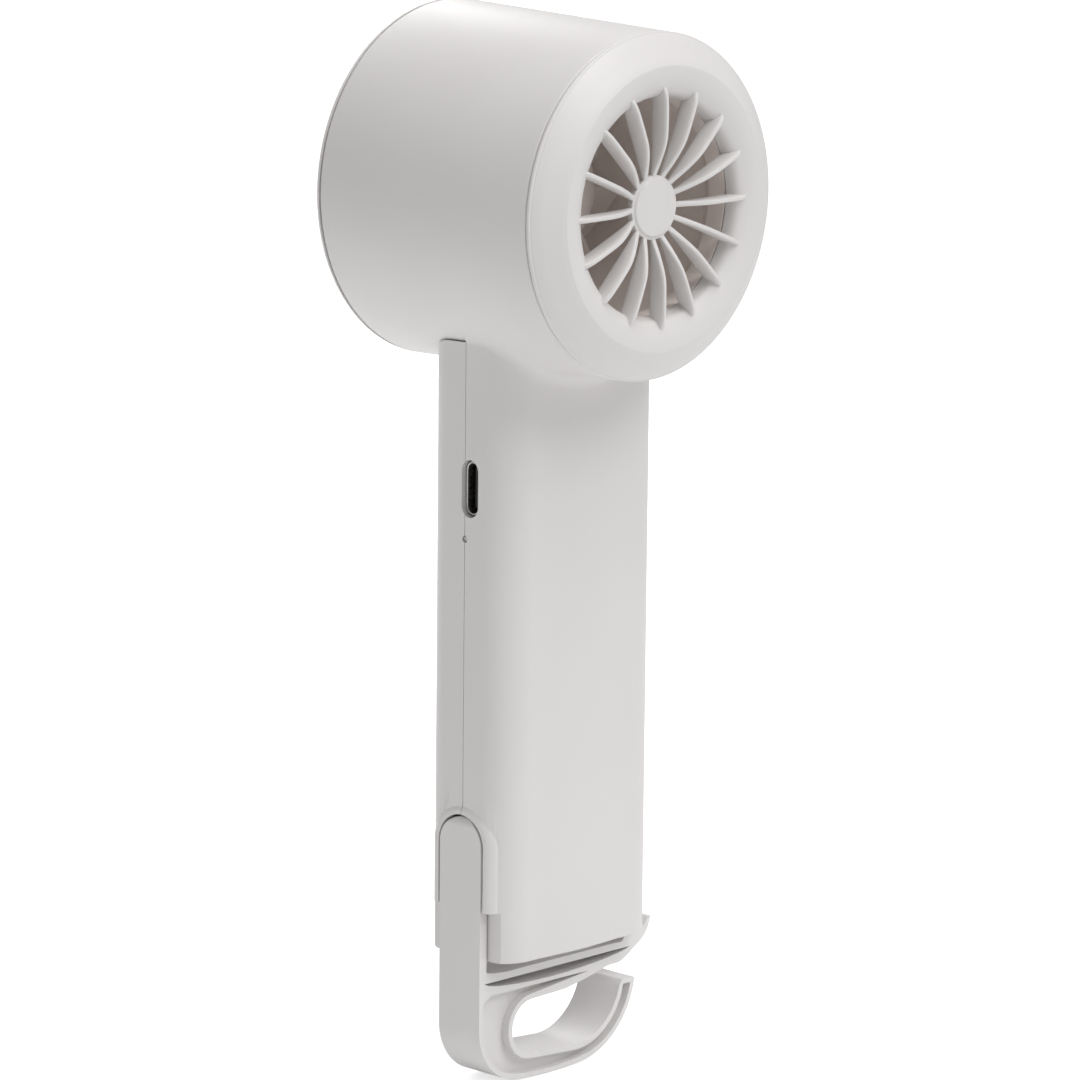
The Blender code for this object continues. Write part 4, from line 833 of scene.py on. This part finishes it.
def clip_outline():
    """Outer run, hook's inside, loop's end, cradle underside, tab, raised end, cradle top, knuckle, arm."""
    inner_hook = arc((HOOK_X, HOOK_RADIUS), HOOK_RADIUS - HOOK_WALL, -170, -90, 29)
    inner_hook[0] += [-RIB / 2, RIB / 3]
    loop_end = arc(LOOP_END, LOOP_RADIUS, -90, 88, 29)
    side, top = -HALF_WIDTH, CRADLE_TOP
    reach = side - TAB_X
    end_z = HANDLE_BOTTOM - GAP
    roof = through([(side + 16.5 * MM, top - 6.2 * MM), (side + 11.1 * MM, top - 5.2 * MM),
                    (side + 6.5 * MM, top - 4.2 * MM), (side + 3.3 * MM, top - 4.0 * MM),
                    (side + 0.4 * MM, top - 2.0 * RIB),
                    (side - 0.45 * reach, top - 0.9 * RIB), (side - 0.8 * reach, top + 0.4 * RIB),
                    (TAB_X + 0.05 * MM, top + 2.5 * MM)], 6)
    tab = through([(TAB_X + 0.2 * MM, top + 2.7 * MM), (TAB_X + 0.75 * MM, top + 2.45 * MM),
                   (side - 0.58 * reach, top + RIB), (side - 0.3 * reach, top + RIB / 2),
                   (side - GAP, end_z - RIB)], 5)
    end = [(side + 0.1 * MM, end_z - 0.35 * MM), (side + 0.5 * MM, end_z)]
    notch = through([(side + 1.6 * MM, end_z), (side + 2.2 * MM, end_z - 0.2 * MM),
                     (side + 2.45 * MM, end_z - 0.6 * MM), (side + 2.5 * MM, end_z - 1.2 * MM),
                     (side + 3.0 * MM, top - DROP), (side + 5.0 * MM, top - DROP)], 4)
    fall = through([(ARM_INNER - 7.0 * MM, top - DROP), (ARM_INNER - 4.8 * MM, top - DROP),
                    (ARM_INNER - 2.0 * MM, top - 0.35 * MM), (ARM_INNER, top)], 4)
    knuckle = arc((HINGE[0], HINGE[2]), KNUCKLE, -92, -268, 15)
    arm = [(ARM_INNER, ARM_TOP), (ARM_OUTER - RIB / 2, ARM_TOP), (ARM_OUTER, ARM_TOP - RIB)]
    return np.concatenate([outer_run(0, -172), inner_hook, loop_end, roof, tab, end, notch,
                           fall, knuckle, arm])


def groove_outline():
    """Between the two ribs: straight above, and below a sag of a power of sin(pi share^0.9)."""
    top = CRADLE_TOP - GROOVE_TOP
    arm_end, tab_end = ARM_OUTER - RIB, RIB - HALF_WIDTH
    share = np.linspace(0, 1, 41)[1:-1]
    sag = GROOVE_HEIGHT * np.sin(math.pi * share ** 0.9) ** 0.6
    lower = np.stack([tab_end + (arm_end - tab_end) * (1 - share), top - sag], -1)
    return np.concatenate([[(arm_end, top), (tab_end, top)], lower[::-1]])


def band_outline():
    """The shallow band between the outer wall and the loop's rim, up to a wedge under the lower rib."""
    inner_hook = arc((HOOK_X, HOOK_RADIUS), HOOK_RADIUS - HOOK_WALL + BAND_WALL, -168, -90, 29)
    rim = arc(LOOP_END, LOOP_RADIUS + BAND_WALL, -90, 88, 29)
    top = CRADLE_TOP - GROOVE_TOP - GROOVE_HEIGHT - LOWER_RIB
    wedge = [(-HALF_WIDTH + 11 * MM, top - 0.15 * MM), (ARM_INNER - RIB, top),
             (ARM_OUTER - BAND_WALL, top - RIB)]
    return np.concatenate([outer_run(BAND_WALL, -168), inner_hook, rim, wedge])


# %% The clip's solid, its round-topped arm and its grooves
outline = clip_outline()
clip = make_piece("clip", [(slab(eased(outline, 0.4 * MM, 4), -CLIP_HALF, CLIP_HALF, "Y"), False)])
wide = 2 * CLIP_HALF
above = np.concatenate([[(wide, HINGE[2])], arc((0, HINGE[2]), CLIP_HALF, 0, 180, 65),
                        [(-wide, HINGE[2]), (-wide, 2 * HINGE[2]), (wide, 2 * HINGE[2])]])
cutters = [slab(above, HINGE[0] - 2 * KNUCKLE, ARM_OUTER + MM, "X")]
for side in (-1, 1):
    for shape, depth in ((groove_outline(), GROOVE_DEPTH), (band_outline(), BAND_DEPTH)):
        low, high = sorted((side * (CLIP_HALF - depth), side * (CLIP_HALF + MM)))
        cutters.append(slab(shape, low, high, "Y"))
cutters.append(slab(arc((HINGE[0], HINGE[2]), PIN + GAP / 2, 0, 345, 24), -wide, wide, "Y"))
carve(clip, cutters)
soften(clip, 0.22, 3)
finish_piece(clip, "white_plastic", "clip", "carabiner_clip")

# %% [markdown]
# ## Floor, light and camera
# A white object on a pale floor needs soft, even light with one broad key, so that each face keeps its own
# tone. The key is on the side of the intake, one lamp is above and another lights the front; a white
# surround fills the rest. The floor glows only where it is looked at directly, so that it stays white and
# doesn't light the underside.

# %% Floor
bpy.ops.mesh.primitive_plane_add(size=8)
floor = bpy.context.object
floor.name = "floor"
paper = bpy.data.materials.new("pale_paper")
paper.use_nodes = True
paper_shader = paper.node_tree.nodes["Principled BSDF"]
paper_shader.inputs["Roughness"].default_value = 0.9
paper_shader.inputs["Specular IOR Level"].default_value = 0.1
paper_where = paper.node_tree.nodes.new("ShaderNodeTexCoord").outputs["Object"]
fibre = paper.node_tree.nodes.new("ShaderNodeMapRange")
paper.node_tree.links.new(noise(paper.node_tree, paper_where, 60.0), fibre.inputs["Value"])
fibre.inputs["To Min"].default_value = 0.93
fibre.inputs["To Max"].default_value = 0.96
paper.node_tree.links.new(fibre.outputs["Result"], paper_shader.inputs["Base Color"])
paper_shader.inputs["Emission Color"].default_value = (1.0, 1.0, 1.0, 1)
seen_directly = paper.node_tree.nodes.new("ShaderNodeLightPath").outputs["Is Camera Ray"]
glow = paper.node_tree.nodes.new("ShaderNodeMapRange")
glow.inputs["To Min"].default_value = 0.06
glow.inputs["To Max"].default_value = 0.60
paper.node_tree.links.new(seen_directly, glow.inputs["Value"])
paper.node_tree.links.new(glow.outputs["Result"], paper_shader.inputs["Emission Strength"])
floor.data.materials.append(paper)


# %% Light
def outward(azimuth, elevation):
    """The unit vector (sin a cos e, -cos a cos e, sin e) of an azimuth and elevation in degrees."""
    a, e = math.radians(azimuth), math.radians(elevation)
    return np.array([math.sin(a) * math.cos(e), -math.cos(a) * math.cos(e), math.sin(e)])


def soft_light(name, azimuth, elevation, distance, size, power, colour=(1, 1, 1)):
    """A square area light on a sphere round the fan, aimed at its middle."""
    lamp = bpy.data.lights.new(name, "AREA")
    lamp.size = size
    lamp.energy = power
    lamp.color = colour
    thing = bpy.data.objects.new(name, lamp)
    bpy.context.scene.collection.objects.link(thing)
    direction = outward(azimuth, elevation)
    thing.location = target + direction * distance
    thing.rotation_euler = aim(direction)


def aim(direction, roll=0.0):
    """The rotation of a camera or light whose back faces along direction, turned by roll about its view."""
    turn = Vector(direction).to_track_quat("Z", "Y").to_matrix()
    return (turn @ Matrix.Rotation(math.radians(roll), 3, "Z")).to_euler()


target = np.array([0.0, 0.0, 0.0891])
world = bpy.data.worlds.new("white_surround")
bpy.context.scene.world = world
world.use_nodes = True
world.node_tree.nodes["Background"].inputs["Color"].default_value = (1.0, 1.0, 1.0, 1)
world.node_tree.nodes["Background"].inputs["Strength"].default_value = 0.36
sun = bpy.data.lights.new("key", "SUN")
sun.energy = 1.25
sun.angle = math.radians(35)
key = bpy.data.objects.new("key", sun)
bpy.context.scene.collection.objects.link(key)
KEY_AZIMUTH, KEY_ELEVATION = 190, 48
key.rotation_euler = aim(outward(KEY_AZIMUTH, KEY_ELEVATION))
soft_light("top", 185, 80, 0.7, 0.35, 1.6, (1.0, 0.985, 0.965))
soft_light("front_fill", 335, 20, 0.7, 0.4, 2.0)

# %% Camera
CAMERA_AZIMUTH = 133.85
CAMERA_ELEVATION = 11.56
CAMERA_DISTANCE = 1.05
CAMERA_ROLL = 0.57
toward = outward(CAMERA_AZIMUTH, CAMERA_ELEVATION)
camera_data = bpy.data.cameras.new("camera")
camera_data.lens = 213.9
camera_data.sensor_width = 36
camera_data.shift_x = -0.0027
camera_data.clip_end = 20
camera = bpy.data.objects.new("camera", camera_data)
bpy.context.scene.collection.objects.link(camera)
camera.location = target + toward * CAMERA_DISTANCE
camera.rotation_euler = aim(toward, CAMERA_ROLL)
bpy.context.scene.camera = camera

bpy.context.scene.view_settings.view_transform = "Standard"
